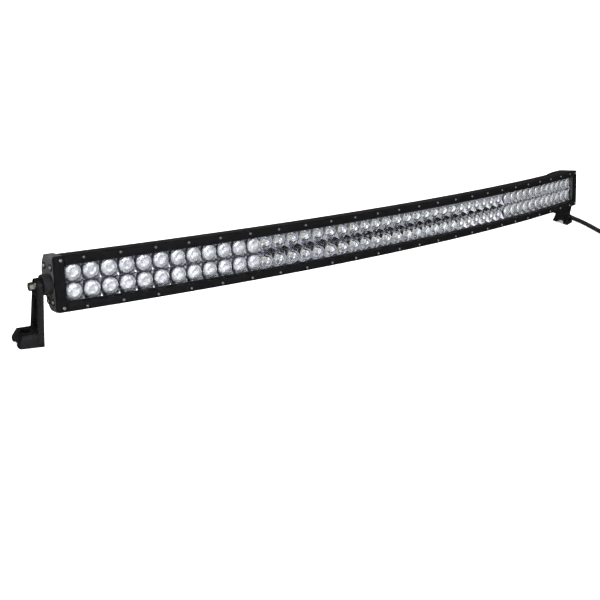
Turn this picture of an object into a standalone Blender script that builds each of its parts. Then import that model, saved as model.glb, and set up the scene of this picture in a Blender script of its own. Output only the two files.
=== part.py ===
"""Curved double-row LED light bar with two cast tilt brackets and a short lead.

The lamp is drawn in its own frame: s runs along the front arc, d is the depth behind
the bezel face and z is the height above the middle of the bar. An empty tilts that
frame so that both bracket feet stand flat on the mounting plane z = 0.
"""

import math

import bmesh
import bpy
from mathutils import Matrix, Vector

MM = 0.001
GAP = 0.3 * MM
# How far a cutting shape runs past the face it cuts
OVERSHOOT = 5.0 * MM

# Driving dimensions of the lamp
FRONT_RADIUS = 3096.9 * MM
HALF_LENGTH = 615.0 * MM
HALF_HEIGHT = 35.5 * MM
ARC_STEPS = 22
LAMP_TILT = math.radians(16.0)

# Optics
CELL_PITCH = 25.0 * MM
COLUMNS_PER_MODULE = 6
MODULES = 8
ROWS = 2
CUP_SIDES = 12
CUP_RADIUS = 11.6 * MM
CUP_FLOOR_RADIUS = 4.2 * MM
REFLECTOR_FRONT = 9.2 * MM
REFLECTOR_BACK = 20.6 * MM
BOARD_FRONT = 22.2 * MM
BOARD_BACK = 23.8 * MM
CHIP_SIDE = 5.0 * MM
CHIP_HEIGHT = 1.2 * MM
CHIP_SINK = 0.4 * MM
# Share of its length that a module fills, which leaves a slit to the next one
MODULE_FILL = 0.9965
BOARD_INSET = 0.6 * MM

# Bezel, cover lens and seal
BEZEL_THICKNESS = 4.0 * MM
BEZEL_EDGE = 0.8 * MM
BEZEL_CORNER = 2.5 * MM
WINDOW_HALF_HEIGHT = 24.2 * MM
WINDOW_HALF_LENGTH = 601.0 * MM
LIP_DEPTH = 7.4 * MM
LIP_THICKNESS = 1.2 * MM
LENS_FRONT = 4.4 * MM
LENS_THICKNESS = 3.0 * MM
LENS_HALF_HEIGHT = 22.6 * MM

# Extruded housing
WALL_FRONT = BEZEL_THICKNESS + GAP
SEAT_HALF_HEIGHT = 28.8 * MM
SEAT_DEPTH = 8.0 * MM
CHANNEL_HALF_HEIGHT = 26.6 * MM
CHANNEL_BACK = 24.5 * MM
FIN_ROOT = 28.0 * MM
SHOULDER_DEPTH = 25.0 * MM
FIN_THICKNESS = 2.2 * MM
FIN_PITCH = 7.85 * MM
FIN_INSET = 1.5 * MM
FINS_ABOVE = 4
FINS_BELOW = 3
FLOOR_LOW = -29.5 * MM
BELLY_DEPTH = 22.0 * MM
HOUSING_END = 599.7 * MM
CAP_START = 600.7 * MM
CAP_CHAMFER = 1.2 * MM
END_SEAL_GAP = 0.2 * MM
END_SEAL_INSET = 0.8 * MM

# Wiring cover behind the right end of the housing
COVER_START = 526.0 * MM
COVER_RAMP = 46.0 * MM
COVER_START_SHARE = 0.08

# Tilt joint at each end, measured outwards from the end cap face
PIVOT_DEPTH = 17.2 * MM
PIVOT_HEIGHT = 79.0 * MM
BOLT_RADIUS = 3.0 * MM
BOLT_HOLE_RADIUS = 3.4 * MM
BOLT_HOLE_DEPTH = 12.0 * MM
BOLT_END = -10.0 * MM
BOLT_SIDES = 16
HEX_RADIUS = 5.7 * MM
HEAD_HEIGHT = 6.6 * MM
SPACER_RADIUS = 13.5 * MM
BRACKET_INNER = 11.8 * MM
FLAT_WASHER_RADIUS = 7.0 * MM
FLAT_WASHER_THICKNESS = 1.6 * MM
SPRING_WASHER_RADIUS = 5.6 * MM
SPRING_WASHER_THICKNESS = 2.0 * MM
WASHER_EDGE = 0.5 * MM

# Cast bracket, measured from its inner face
HEAD_RADIUS = 9.8 * MM
HEAD_STEPS = 12
UPRIGHT_DEPTH = 8.0 * MM
BOSS_DEPTH = 4.8 * MM
WEB_THICKNESS = 3.2 * MM
BASE_HALF_WIDTH = 15.4 * MM
FOOT_LENGTH = 33.0 * MM
FOOT_HEIGHT = 18.5 * MM
FOOT_HALF_WIDTH = 16.5 * MM
FOOT_TOP_HALF_WIDTH = 11.9 * MM
TOE_RADIUS = 4.5 * MM
TOE_SLOPE = 6.0 * MM
TOE_CORNER = 5.0 * MM
POCKET_WALL = 3.6 * MM
POCKET_TOP = -13.0 * MM
POCKET_SILL = 1.5 * MM
POCKET_CORNER = 4.0 * MM
SPOT_FACE_RADIUS = 8.2 * MM
FOOT_HOLE_RADIUS = 4.5 * MM
COUNTERBORE_RADIUS = 6.4 * MM
COUNTERBORE_DEPTH = 6.0 * MM
FOOT_HOLE_OUT = 19.5 * MM
ARCH_HALF_WIDTH = 8.5 * MM
ARCH_HEIGHT = 6.4 * MM
ARCH_DRAFT = 2.5 * MM

# Gland and lead
GLAND_S = 578.0 * MM
GLAND_Z = 3.0 * MM
GLAND_STUB = 6.0 * MM
GLAND_STUB_RADIUS = 5.6 * MM
GLAND_HEX_RADIUS = 10.6 * MM
GLAND_HEX_HEIGHT = 5.0 * MM
GLAND_NUT_HEIGHT = 9.0 * MM
GLAND_NUT_RADIUS = 9.6 * MM
GLAND_NUT_TAPER = 4.0 * MM
GLAND_SIDES = 12
BOOT_LENGTH = 14.0 * MM
BOOT_RADIUS = 7.4 * MM
BOOT_TIP_RADIUS = 5.5 * MM
CABLE_RADIUS = 4.4 * MM
CABLE_POINTS = 56
CABLE_LEAD_IN = 6.0 * MM
PATH_STEPS = 20
VENT_S = 556.0 * MM
VENT_SIDES = 12
VENT_STEM = 3.0 * MM
VENT_STEM_RADIUS = 2.8 * MM
VENT_RADIUS = 6.0 * MM
VENT_HEIGHT = 4.2 * MM
VENT_EDGE = 1.0 * MM
CONNECTOR_LENGTH = 34.0 * MM
CONNECTOR_HALF_WIDTH = 8.0 * MM
CONNECTOR_HALF_HEIGHT = 7.0 * MM
CONNECTOR_CORNER = 2.0 * MM
CONNECTOR_WALL = 1.6 * MM
MOUTH_DEPTH = 16.0 * MM
PLUG_SEAL_LENGTH = 8.0 * MM
PLUG_SEAL_INSET = 1.5 * MM

END_ANGLE = HALF_LENGTH / FRONT_RADIUS
PIVOT_Y = FRONT_RADIUS - (FRONT_RADIUS - PIVOT_DEPTH) * math.cos(END_ANGLE)
BRACKET_TILT = math.atan(math.tan(LAMP_TILT) * math.cos(END_ANGLE))
# Slant of the tilt axes against the mounting plane
SLANT = math.asin(math.sin(LAMP_TILT) * math.sin(END_ANGLE))

# Route of the lead in the world frame, from the gland to the connector, in millimetres
CABLE_ROUTE = (
    (558.3, 61.5, 62.8),
    (557.4, 74.5, 55.0),
    (559.4, 86.5, 44.0),
    (565.4, 96.5, 31.6),
    (576.4, 103.6, 20.0),
    (591.6, 107.6, 10.8),
    (608.8, 108.0, 5.9),
    (626.2, 103.4, 4.8),
    (641.6, 93.6, 4.6),
    (653.2, 79.8, 4.6),
    (660.2, 62.6, 4.6),
    (664.2, 43.4, 4.6),
    (665.6, 22.4, 4.6),
    (665.6, 2.2, 4.6),
    (664.4, -18.0, 4.6),
    (661.2, -36.2, 4.6),
    (655.8, -54.0, 4.6),
    (650.2, -72.0, 4.7),
    (646.4, -88.0, 5.6),
    (644.0, -102.0, 6.9),
)
CONNECTOR_AT = Vector((642.4, -115.0, 7.4)) * MM


def clear_scene():
    """Empty the scene so that the file holds only this object."""
    for item in list(bpy.data.objects):
        bpy.data.objects.remove(item, do_unlink=True)


def material(name, colour, roughness, metallic=0.0, transmission=0.0):
    """A plain Principled material."""
    made = bpy.data.materials.new(name)
    made.use_nodes = True
    shader = made.node_tree.nodes["Principled BSDF"]
    shader.inputs["Base Color"].default_value = (*colour, 1.0)
    shader.inputs["Roughness"].default_value = roughness
    shader.inputs["Metallic"].default_value = metallic
    shader.inputs["Transmission Weight"].default_value = transmission
    return made


def add_object(name, mesh, look, parent=None):
    """Link a mesh into the scene as one named piece."""
    piece = bpy.data.objects.new(name, mesh)
    bpy.context.collection.objects.link(piece)
    mesh.materials.clear()
    mesh.materials.append(look)
    piece.parent = parent
    return piece


def add_empty(name, place, turn, parent=None):
    """A frame that carries pieces."""
    empty = bpy.data.objects.new(name, None)
    bpy.context.collection.objects.link(empty)
    empty.location = place
    empty.rotation_euler = turn
    empty.parent = parent
    return empty


def finish_mesh(name, shape, smooth=False):
    """Turn a bmesh into a mesh with its faces pointing out."""
    bmesh.ops.recalc_face_normals(shape, faces=shape.faces)
    mesh = bpy.data.meshes.new(name)
    shape.to_mesh(mesh)
    shape.free()
    if smooth:
        mesh.shade_smooth()
        mesh.set_sharp_from_angle(angle=math.radians(35))
    return mesh


def combine(name, base, others, operation):
    """Apply Boolean operations to a base mesh and return the new mesh."""
    body = bpy.data.objects.new(name, base)
    bpy.context.collection.objects.link(body)
    tools = []
    for index, other in enumerate(others):
        tool = bpy.data.objects.new(f"{name}_tool_{index}", other)
        bpy.context.collection.objects.link(tool)
        cut = body.modifiers.new(f"step_{index}", "BOOLEAN")
        cut.operation = operation
        cut.object = tool
        tools.append(tool)
    graph = bpy.context.evaluated_depsgraph_get()
    result = bpy.data.meshes.new_from_object(body.evaluated_get(graph))
    for item in [body, *tools]:
        bpy.data.objects.remove(item, do_unlink=True)
    return result


def arc_point(s, d, z):
    """A point of the lamp frame from its arc length, depth and height."""
    angle = s / FRONT_RADIUS
    radius = FRONT_RADIUS - d
    return Vector((radius * math.sin(angle), FRONT_RADIUS - radius * math.cos(angle), z))


def arc_stations(start, end):
    """Arc lengths of a swept piece, as even as the driving step count allows."""
    span = 2 * HALF_LENGTH / ARC_STEPS
    count = max(1, round((end - start) / span))
    return [start + (end - start) * i / count for i in range(count + 1)]


def sweep(name, profiles, stations):
    """Sweep one closed (d, z) outline along the arc; each station may have its own."""
    shape = bmesh.new()
    rings = []
    for index, s in enumerate(stations):
        outline = profiles(index) if callable(profiles) else profiles
        rings.append([shape.verts.new(arc_point(s, d, z)) for d, z in outline])
    for near, far in zip(rings, rings[1:]):
        for i in range(len(near)):
            j = (i + 1) % len(near)
            shape.faces.new((near[i], near[j], far[j], far[i]))
    shape.faces.new(rings[0])
    shape.faces.new(rings[-1])
    return finish_mesh(name, shape)


def prism(name, outline, low, high, place=None):
    """Extrude an (x, y) outline from z = low to z = high, then move it by a matrix."""
    shape = bmesh.new()
    bottom = [shape.verts.new((x, y, low)) for x, y in outline]
    top = [shape.verts.new((x, y, high)) for x, y in outline]
    for i in range(len(outline)):
        j = (i + 1) % len(outline)
        shape.faces.new((bottom[i], bottom[j], top[j], top[i]))
    shape.faces.new(bottom)
    shape.faces.new(top)
    if place:
        bmesh.ops.transform(shape, matrix=place, verts=shape.verts)
    return finish_mesh(name, shape)


def circle(radius, sides, turn=0.0):
    """Points of a regular outline round the origin."""
    steps = [turn + 2 * math.pi * i / sides for i in range(sides)]
    return [(radius * math.cos(a), radius * math.sin(a)) for a in steps]


def turned(name, profile, sides, place=None):
    """Revolve (radius, height) points; a profile from and to the axis is solid,
    any other profile is closed on itself and leaves a bore."""
    shape = bmesh.new()
    rings = []
    for radius, height in profile:
        if radius == 0.0:
            rings.append([shape.verts.new((0.0, 0.0, height))])
        else:
            rings.append([shape.verts.new((x, y, height)) for x, y in circle(radius, sides)])
    pairs = list(zip(rings, rings[1:]))
    if profile[0][0] != 0.0:
        pairs.append((rings[-1], rings[0]))
    for near, far in pairs:
        for i in range(sides):
            j = (i + 1) % sides
            if len(near) == 1:
                shape.faces.new((near[0], far[j], far[i]))
            elif len(far) == 1:
                shape.faces.new((near[i], near[j], far[0]))
            else:
                shape.faces.new((near[i], near[j], far[j], far[i]))
    if place:
        bmesh.ops.transform(shape, matrix=place, verts=shape.verts)
    return finish_mesh(name, shape, smooth=True)


def along_x(side):
    """Turn a shape made along +Z so that it runs along the tilt axis, outwards."""
    return Matrix.Rotation(side * math.pi / 2, 4, "Y")


def rear_outline(inset=0.0, top=SHOULDER_DEPTH):
    """Rear half of the end profile, from the top edge round to the bottom edge."""
    drop = HALF_HEIGHT - inset
    return [
        (top, drop),
        (35.5 * MM - inset, drop),
        (42.0 * MM - inset, 28.0 * MM),
        (45.5 * MM - inset, 20.0 * MM),
        (47.0 * MM - inset, 12.0 * MM),
        (47.0 * MM - inset, -4.0 * MM),
        (43.2 * MM - inset, -12.0 * MM),
        (37.0 * MM - inset, -20.0 * MM),
        (34.0 * MM - inset, -26.0 * MM),
        (29.0 * MM - inset, -32.0 * MM),
        (BELLY_DEPTH - inset, -drop),
    ]


def depth_at(z):
    """Depth of the rear outline at a height."""
    points = rear_outline()[1:]
    for (d0, z0), (d1, z1) in zip(points, points[1:]):
        if z1 <= z <= z0:
            return d0 + (d1 - d0) * (z0 - z) / (z0 - z1)
    raise ValueError("height is outside the rear outline")


def housing_profile():
    """Open channel in front, lengthwise cooling fins behind."""
    profile = [(WALL_FRONT, HALF_HEIGHT), (SHOULDER_DEPTH, HALF_HEIGHT)]
    half = FIN_THICKNESS / 2
    for index in range(FINS_ABOVE, -FINS_BELOW - 1, -1):
        z = index * FIN_PITCH
        tip = depth_at(z) - FIN_INSET
        root = SHOULDER_DEPTH if index == FINS_ABOVE else FIN_ROOT
        profile += [(root, z + half), (tip, z + half), (tip, z - half), (FIN_ROOT, z - half)]
    profile += [
        (FIN_ROOT, FLOOR_LOW),
        (BELLY_DEPTH, -HALF_HEIGHT),
        (WALL_FRONT, -HALF_HEIGHT),
        (WALL_FRONT, -SEAT_HALF_HEIGHT),
        (SEAT_DEPTH, -SEAT_HALF_HEIGHT),
        (SEAT_DEPTH, -CHANNEL_HALF_HEIGHT),
        (CHANNEL_BACK, -CHANNEL_HALF_HEIGHT),
        (CHANNEL_BACK, CHANNEL_HALF_HEIGHT),
        (SEAT_DEPTH, CHANNEL_HALF_HEIGHT),
        (SEAT_DEPTH, SEAT_HALF_HEIGHT),
        (WALL_FRONT, SEAT_HALF_HEIGHT),
    ]
    return profile


def top_fin_edge():
    """Height of the upper face of the top fin."""
    return FINS_ABOVE * FIN_PITCH + FIN_THICKNESS / 2


def make_housing(lamp, looks):
    """Extruded aluminium body, with its fins cut back for the wiring cover."""
    body = sweep("housing", housing_profile(), arc_stations(-HOUSING_END, HOUSING_END))
    skim = GAP / 3
    low, high = FLOOR_LOW - skim, top_fin_edge() - skim
    back, above = FIN_ROOT + HALF_HEIGHT, 2 * HALF_HEIGHT
    shoulder = SHOULDER_DEPTH + skim
    cut = [(FIN_ROOT, low), (back, low), (back, above)]
    cut += [(shoulder, above), (shoulder, high), (FIN_ROOT, high)]
    cutter = sweep("fin_cut", cut, [COVER_START - GAP, HOUSING_END + OVERSHOOT])
    add_object("housing", combine("housing", body, [cutter], "DIFFERENCE"), looks["housing"], lamp)


def make_wiring_cover(lamp, looks):
    """Closed box over the wire entry, ramped towards the middle of the bar."""
    top = top_fin_edge() + GAP
    floor = FIN_ROOT + GAP
    shoulder = SHOULDER_DEPTH + 2 * GAP
    full = [(floor, top), (shoulder, top), *rear_outline(top=shoulder)[:-2], (floor, FLOOR_LOW + 2 * GAP)]

    def station(index):
        if index > 0:
            return full
        return [(floor + (d - floor) * COVER_START_SHARE if d > floor else d, z) for d, z in full]

    stations = [COVER_START, COVER_START + COVER_RAMP, HOUSING_END]
    body = sweep("wiring_cover", station, stations)
    stub_hole = circle(GLAND_STUB_RADIUS + GAP, BOLT_SIDES)
    bore = prism("gland_bore", stub_hole, -GLAND_STUB - 2 * GAP, OVERSHOOT, gland_place())
    stem_hole = circle(VENT_STEM_RADIUS + GAP, VENT_SIDES)
    vent_bore = prism("vent_bore", stem_hole, -VENT_STEM - 2 * GAP, OVERSHOOT, vent_place())
    mesh = combine("wiring_cover", body, [bore, vent_bore], "DIFFERENCE")
    add_object("wiring_cover", mesh, looks["cap"], lamp)


def rear_place(s, z):
    """Frame on the flat rear face of the wiring cover, with +Z pointing backwards."""
    angle = s / FRONT_RADIUS
    seat = arc_point(s, depth_at(z), z)
    turn = Matrix.Rotation(angle, 4, "Z") @ Matrix.Rotation(-math.pi / 2, 4, "X")
    return Matrix.Translation(seat) @ turn


def gland_place():
    return rear_place(GLAND_S, GLAND_Z)


def vent_place():
    return rear_place(VENT_S, GLAND_Z)


def make_end_cap(side, name, lamp, looks):
    """Cast end cap with a chamfered outer edge and a blind hole for the tilt bolt."""
    outline = [(WALL_FRONT, HALF_HEIGHT), *rear_outline(), (WALL_FRONT, -HALF_HEIGHT)]
    inner = [
        (d if d < SHOULDER_DEPTH else d - CAP_CHAMFER, z * (1.0 - CAP_CHAMFER / HALF_HEIGHT))
        for d, z in outline
    ]
    stations = [side * s for s in (CAP_START, HALF_LENGTH - CAP_CHAMFER, HALF_LENGTH)]
    body = sweep(name, lambda index: inner if index == 2 else outline, stations)
    hole_outline = circle(BOLT_HOLE_RADIUS, BOLT_SIDES)
    hole = prism("bolt_hole", hole_outline, -BOLT_HOLE_DEPTH, OVERSHOOT, end_place(side))
    add_object(name, combine(name, body, [hole], "DIFFERENCE"), looks["cap"], lamp)


def end_place(side):
    """Frame on the end cap face at the tilt axis, with +Z pointing outwards."""
    seat = arc_point(side * HALF_LENGTH, PIVOT_DEPTH, 0.0)
    turn = Matrix.Rotation(side * END_ANGLE, 4, "Z")
    return Matrix.Translation(seat) @ turn @ along_x(side)


def make_end_seal(side, name, lamp, looks):
    """Thin rubber sheet between the housing and its end cap."""
    front = SEAT_DEPTH + GAP
    half = HALF_HEIGHT - END_SEAL_INSET
    outline = [(front, half), *rear_outline(END_SEAL_INSET), (front, -half)]
    stations = sorted((side * (HOUSING_END + END_SEAL_GAP), side * (CAP_START - END_SEAL_GAP)))
    add_object(name, sweep(name, outline, stations), looks["rubber"], lamp)


def make_bezel_strip(side, name, lamp, looks):
    """Long front strip with a lip that turns in round the window."""
    outer, window = side * HALF_HEIGHT, side * WINDOW_HALF_HEIGHT
    lip = side * LIP_THICKNESS
    edge = side * BEZEL_EDGE
    profile = [
        (BEZEL_EDGE, outer),
        (0.0, outer - edge),
        (0.0, window + edge),
        (BEZEL_EDGE, window),
        (LIP_DEPTH, window),
        (LIP_DEPTH, window + lip),
        (BEZEL_THICKNESS, window + lip),
        (BEZEL_THICKNESS, outer),
    ]
    stations = arc_stations(-WINDOW_HALF_LENGTH + 2 * GAP, WINDOW_HALF_LENGTH - 2 * GAP)
    add_object(name, sweep(name, profile, stations), looks["bezel"], lamp)


def make_bezel_end(side, name, lamp, looks):
    """End plate of the front frame, screwed to the end cap."""
    corner = BEZEL_CORNER
    low, high = WINDOW_HALF_LENGTH, HALF_LENGTH

    def face(inset):
        return [
            (low, -HALF_HEIGHT + inset),
            (high - corner, -HALF_HEIGHT + inset),
            (high - inset, -HALF_HEIGHT + corner),
            (high - inset, HALF_HEIGHT - corner),
            (high - corner, HALF_HEIGHT - inset),
            (low, HALF_HEIGHT - inset),
        ]

    shape = bmesh.new()
    rings = []
    for depth, inset in ((BEZEL_THICKNESS, 0.0), (BEZEL_EDGE, 0.0), (0.0, BEZEL_EDGE)):
        rings.append([shape.verts.new(arc_point(side * s, depth, z)) for s, z in face(inset)])
    for near, far in zip(rings, rings[1:]):
        for i in range(len(near)):
            j = (i + 1) % len(near)
            shape.faces.new((near[i], near[j], far[j], far[i]))
    shape.faces.new(rings[0])
    shape.faces.new(rings[-1])
    add_object(name, finish_mesh(name, shape), looks["bezel"], lamp)


def make_cover_lens(lamp, looks):
    """Clear sheet inside the bezel lip, in front of the reflectors."""
    front, back = LENS_FRONT, LENS_FRONT + LENS_THICKNESS
    half = LENS_HALF_HEIGHT
    profile = [(front, half), (back, half), (back, -half), (front, -half)]
    stations = arc_stations(-HOUSING_END + GAP, HOUSING_END - GAP)
    add_object("cover_lens", sweep("cover_lens", profile, stations), looks["lens"], lamp)


def make_lens_seal(side, name, lamp, looks):
    """Silicone strip between the lens edge and the lip of the bezel."""
    near = side * (LENS_HALF_HEIGHT + GAP)
    far = side * (WINDOW_HALF_HEIGHT - GAP)
    front, back = LENS_FRONT, LENS_FRONT + LENS_THICKNESS
    profile = [(front, far), (back, far), (back, near), (front, near)]
    stations = arc_stations(-HOUSING_END + GAP, HOUSING_END - GAP)
    add_object(name, sweep(name, profile, stations), looks["rubber"], lamp)


def cell_centres():
    """Centres of one module's cells, as (x, z) in the module's frame."""
    pitch = CELL_PITCH * (1.0 - REFLECTOR_BACK / FRONT_RADIUS)
    columns = [(i - (COLUMNS_PER_MODULE - 1) / 2) * pitch for i in range(COLUMNS_PER_MODULE)]
    rows = [(j - (ROWS - 1) / 2) * CELL_PITCH for j in range(ROWS)]
    return pitch, [(x, z) for z in rows for x in columns]


def ring_of_cell(shape, weld, x, z, depth, half_x, half_z, radius):
    """Square plate with a round opening; returns the loop of the opening."""
    opening = []
    for px, pz in circle(radius, CUP_SIDES, math.pi / 4):
        opening.append(shape.verts.new((x + px, depth, z + pz)))
    signs = ((1, 1), (-1, 1), (-1, -1), (1, -1))
    corners = [weld(x + a * half_x, depth, z + b * half_z) for a, b in signs]
    quarter = CUP_SIDES // 4
    for k in range(4):
        arc = [opening[(k * quarter + i) % CUP_SIDES] for i in range(quarter + 1)]
        shape.faces.new((corners[k], *arc, corners[(k + 1) % 4]))
    return opening


def reflector_mesh():
    """Moulded block of cups, open at the front and pierced for the emitters."""
    shape = bmesh.new()
    known = {}

    def weld(x, y, z):
        key = (round(x / MM, 3), round(y / MM, 3), round(z / MM, 3))
        if key not in known:
            known[key] = shape.verts.new((x, y, z))
        return known[key]

    pitch, centres = cell_centres()
    half_x, half_z = pitch / 2, CELL_PITCH / 2
    for x, z in centres:
        front = ring_of_cell(shape, weld, x, z, REFLECTOR_FRONT, half_x, half_z, CUP_RADIUS)
        back = ring_of_cell(shape, weld, x, z, REFLECTOR_BACK, half_x, half_z, CUP_FLOOR_RADIUS)
        for i in range(CUP_SIDES):
            j = (i + 1) % CUP_SIDES
            shape.faces.new((front[i], front[j], back[j], back[i]))
    edge_x = COLUMNS_PER_MODULE * half_x
    edge_z = ROWS * half_z
    columns = [-edge_x + i * pitch for i in range(COLUMNS_PER_MODULE + 1)]
    rows = [-edge_z + j * CELL_PITCH for j in range(ROWS + 1)]
    walls = [[(x, z) for x in columns] for z in (-edge_z, edge_z)]
    walls += [[(x, z) for z in rows] for x in (-edge_x, edge_x)]
    for wall in walls:
        for (x0, z0), (x1, z1) in zip(wall, wall[1:]):
            loop = [(x0, REFLECTOR_FRONT, z0), (x1, REFLECTOR_FRONT, z1)]
            loop += [(x1, REFLECTOR_BACK, z1), (x0, REFLECTOR_BACK, z0)]
            shape.faces.new([weld(*point) for point in loop])
    bmesh.ops.scale(shape, vec=(MODULE_FILL, 1.0, 1.0), verts=shape.verts)
    return finish_mesh("reflector", shape)


def board_mesh():
    """Circuit board with one square emitter under each cup."""
    pitch, centres = cell_centres()
    half_x = COLUMNS_PER_MODULE * pitch / 2 - BOARD_INSET
    half_z = ROWS * CELL_PITCH / 2
    plate = [(-half_x, -half_z), (half_x, -half_z), (half_x, half_z), (-half_x, half_z)]
    face_back = Matrix.Rotation(math.pi / 2, 4, "X")
    base = prism("board", plate, -BOARD_BACK, -BOARD_FRONT, face_back)
    chips = []
    low, high = -BOARD_FRONT - CHIP_SINK, -BOARD_FRONT + CHIP_HEIGHT
    for x, z in centres:
        corners = circle(CHIP_SIDE / math.sqrt(2), 4, math.pi / 4)
        square = [(x + px, z + pz) for px, pz in corners]
        chips.append(prism("chip", square, low, high, face_back))
    return combine("board", base, chips, "UNION")


def make_modules(lamp, looks):
    """Eight straight optical modules set along the arc, each with its board."""
    cups, board = reflector_mesh(), board_mesh()
    length = CELL_PITCH * COLUMNS_PER_MODULE
    for index in range(MODULES):
        s = (index - (MODULES - 1) / 2) * length
        angle = s / FRONT_RADIUS
        for stem, mesh, look in (("reflector", cups, "chrome"), ("led_board", board, "board")):
            piece = add_object(f"{stem}_{index + 1}", mesh.copy(), looks[look], lamp)
            piece.location = arc_point(s, 0.0, 0.0)
            piece.rotation_euler = (0.0, 0.0, angle)


def bracket_outline():
    """Tapered upright with a round head, as (w, h) about the tilt axis."""
    slope = math.atan2(BASE_HALF_WIDTH - HEAD_RADIUS, PIVOT_HEIGHT)
    steps = [-slope + (math.pi + 2 * slope) * i / HEAD_STEPS for i in range(HEAD_STEPS + 1)]
    head = [(HEAD_RADIUS * math.cos(a), HEAD_RADIUS * math.sin(a)) for a in steps]
    return [*head, (-BASE_HALF_WIDTH, -PIVOT_HEIGHT), (BASE_HALF_WIDTH, -PIVOT_HEIGHT)]


def quarter_turn(steps=3):
    """Angles of a rounded corner."""
    return [math.pi / 2 * i / steps for i in range(steps + 1)]


def foot_side():
    """Side view of the foot, as (o, h): flat top, slanted end and a rounded toe."""
    tip = BRACKET_INNER + FOOT_LENGTH
    floor = -PIVOT_HEIGHT
    rounding = [
        (tip - TOE_RADIUS * (1.0 - math.cos(a)), floor + TOE_RADIUS * (1.0 - math.sin(a)))
        for a in reversed(quarter_turn())
    ]
    top = floor + FOOT_HEIGHT
    return [(BRACKET_INNER, floor), *rounding, (tip - TOE_SLOPE, top), (BRACKET_INNER, top)]


def foot_plan():
    """Plan of the foot, as (o, w), with rounded toes."""
    tip = BRACKET_INNER + FOOT_LENGTH
    half = FOOT_HALF_WIDTH
    side = [(BRACKET_INNER, -half)]
    side += [
        (tip - TOE_CORNER * (1.0 - math.sin(a)), -half + TOE_CORNER * (1.0 - math.cos(a)))
        for a in quarter_turn()
    ]
    return side + [(o, -w) for o, w in reversed(side)]


def pocket_outline():
    """Channel between the side ribs of the upright, as (w, h)."""
    taper = (BASE_HALF_WIDTH - HEAD_RADIUS) / PIVOT_HEIGHT
    low = -PIVOT_HEIGHT + FOOT_HEIGHT + POCKET_SILL
    top_half = HEAD_RADIUS - taper * POCKET_TOP - POCKET_WALL
    low_half = HEAD_RADIUS - taper * low - POCKET_WALL
    return [
        (-low_half, low),
        (low_half, low),
        (top_half, POCKET_TOP - POCKET_CORNER),
        (top_half - POCKET_CORNER, POCKET_TOP),
        (-top_half + POCKET_CORNER, POCKET_TOP),
        (-top_half, POCKET_TOP - POCKET_CORNER),
    ]


def bracket_mesh(side):
    """Cast tilt bracket: boss, ribbed upright, drafted foot with two pads."""
    inner = BRACKET_INNER
    tip = inner + FOOT_LENGTH
    floor = -PIVOT_HEIGHT
    reach = OVERSHOOT
    # Outlines in (w, h) are extruded outwards, those in (o, h) from front to back.
    face_out = Matrix(
        ((0.0, 0.0, side, 0.0), (1.0, 0.0, 0.0, 0.0), (0.0, 1.0, 0.0, 0.0), (0.0, 0.0, 0.0, 1.0))
    )
    face_side = Matrix(
        ((side, 0.0, 0.0, 0.0), (0.0, 0.0, 1.0, 0.0), (0.0, 1.0, 0.0, 0.0), (0.0, 0.0, 0.0, 1.0))
    )
    upright = prism("upright", bracket_outline(), inner, inner + UPRIGHT_DEPTH, face_out)
    block = prism("foot", foot_side(), -2 * FOOT_HALF_WIDTH, 2 * FOOT_HALF_WIDTH, face_side)
    plan = prism("foot_plan", foot_plan(), 2 * floor, 0.0, Matrix.Diagonal((side, 1.0, 1.0, 1.0)))
    flare = (FOOT_HALF_WIDTH - FOOT_TOP_HALF_WIDTH) / FOOT_HEIGHT * reach
    top = floor + FOOT_HEIGHT + reach
    drafted = [
        (-FOOT_HALF_WIDTH - flare, floor - reach),
        (FOOT_HALF_WIDTH + flare, floor - reach),
        (FOOT_TOP_HALF_WIDTH - flare, top),
        (-FOOT_TOP_HALF_WIDTH + flare, top),
    ]
    draft = prism("foot_draft", drafted, 0.0, 2 * tip, face_out)
    foot = combine("foot", block, [plan, draft], "INTERSECT")
    body = combine("bracket", upright, [foot], "UNION")

    outer = inner + UPRIGHT_DEPTH + reach
    pocket = prism("pocket", pocket_outline(), inner + WEB_THICKNESS, outer, face_out)
    spot = prism("spot_face", circle(SPOT_FACE_RADIUS, BOLT_SIDES), inner + BOSS_DEPTH, outer, face_out)
    bore = prism("bore", circle(BOLT_HOLE_RADIUS, BOLT_SIDES), 0.0, tip, face_out)
    hole_place = Matrix.Translation((side * (inner + FOOT_HOLE_OUT), 0.0, floor))
    hole_outline = circle(FOOT_HOLE_RADIUS, BOLT_SIDES)
    foot_hole = prism("foot_hole", hole_outline, -reach, FOOT_HEIGHT + reach, hole_place)
    seat_outline = circle(COUNTERBORE_RADIUS, BOLT_SIDES)
    seat_floor = FOOT_HEIGHT - COUNTERBORE_DEPTH
    counterbore = prism("counterbore", seat_outline, seat_floor, FOOT_HEIGHT + reach, hole_place)
    arch_outline = [
        (-ARCH_HALF_WIDTH, floor - reach),
        (ARCH_HALF_WIDTH, floor - reach),
        (ARCH_HALF_WIDTH - ARCH_DRAFT, floor + ARCH_HEIGHT),
        (-ARCH_HALF_WIDTH + ARCH_DRAFT, floor + ARCH_HEIGHT),
    ]
    arch = prism("arch", arch_outline, inner - reach, tip + reach, face_out)
    # The tilt axis slants across the mounting plane, so the underside is trimmed level with it.
    far = 2 * tip
    near_level = floor / math.cos(SLANT)
    far_level = near_level + far * math.tan(SLANT)
    level = [(0.0, near_level), (far, far_level), (far, 2 * floor), (0.0, 2 * floor)]
    trim = prism("trim", level, -2 * FOOT_HALF_WIDTH, 2 * FOOT_HALF_WIDTH, face_side)
    cuts = [pocket, spot, bore, foot_hole, counterbore, arch, trim]
    return combine("bracket", body, cuts, "DIFFERENCE")


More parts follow.
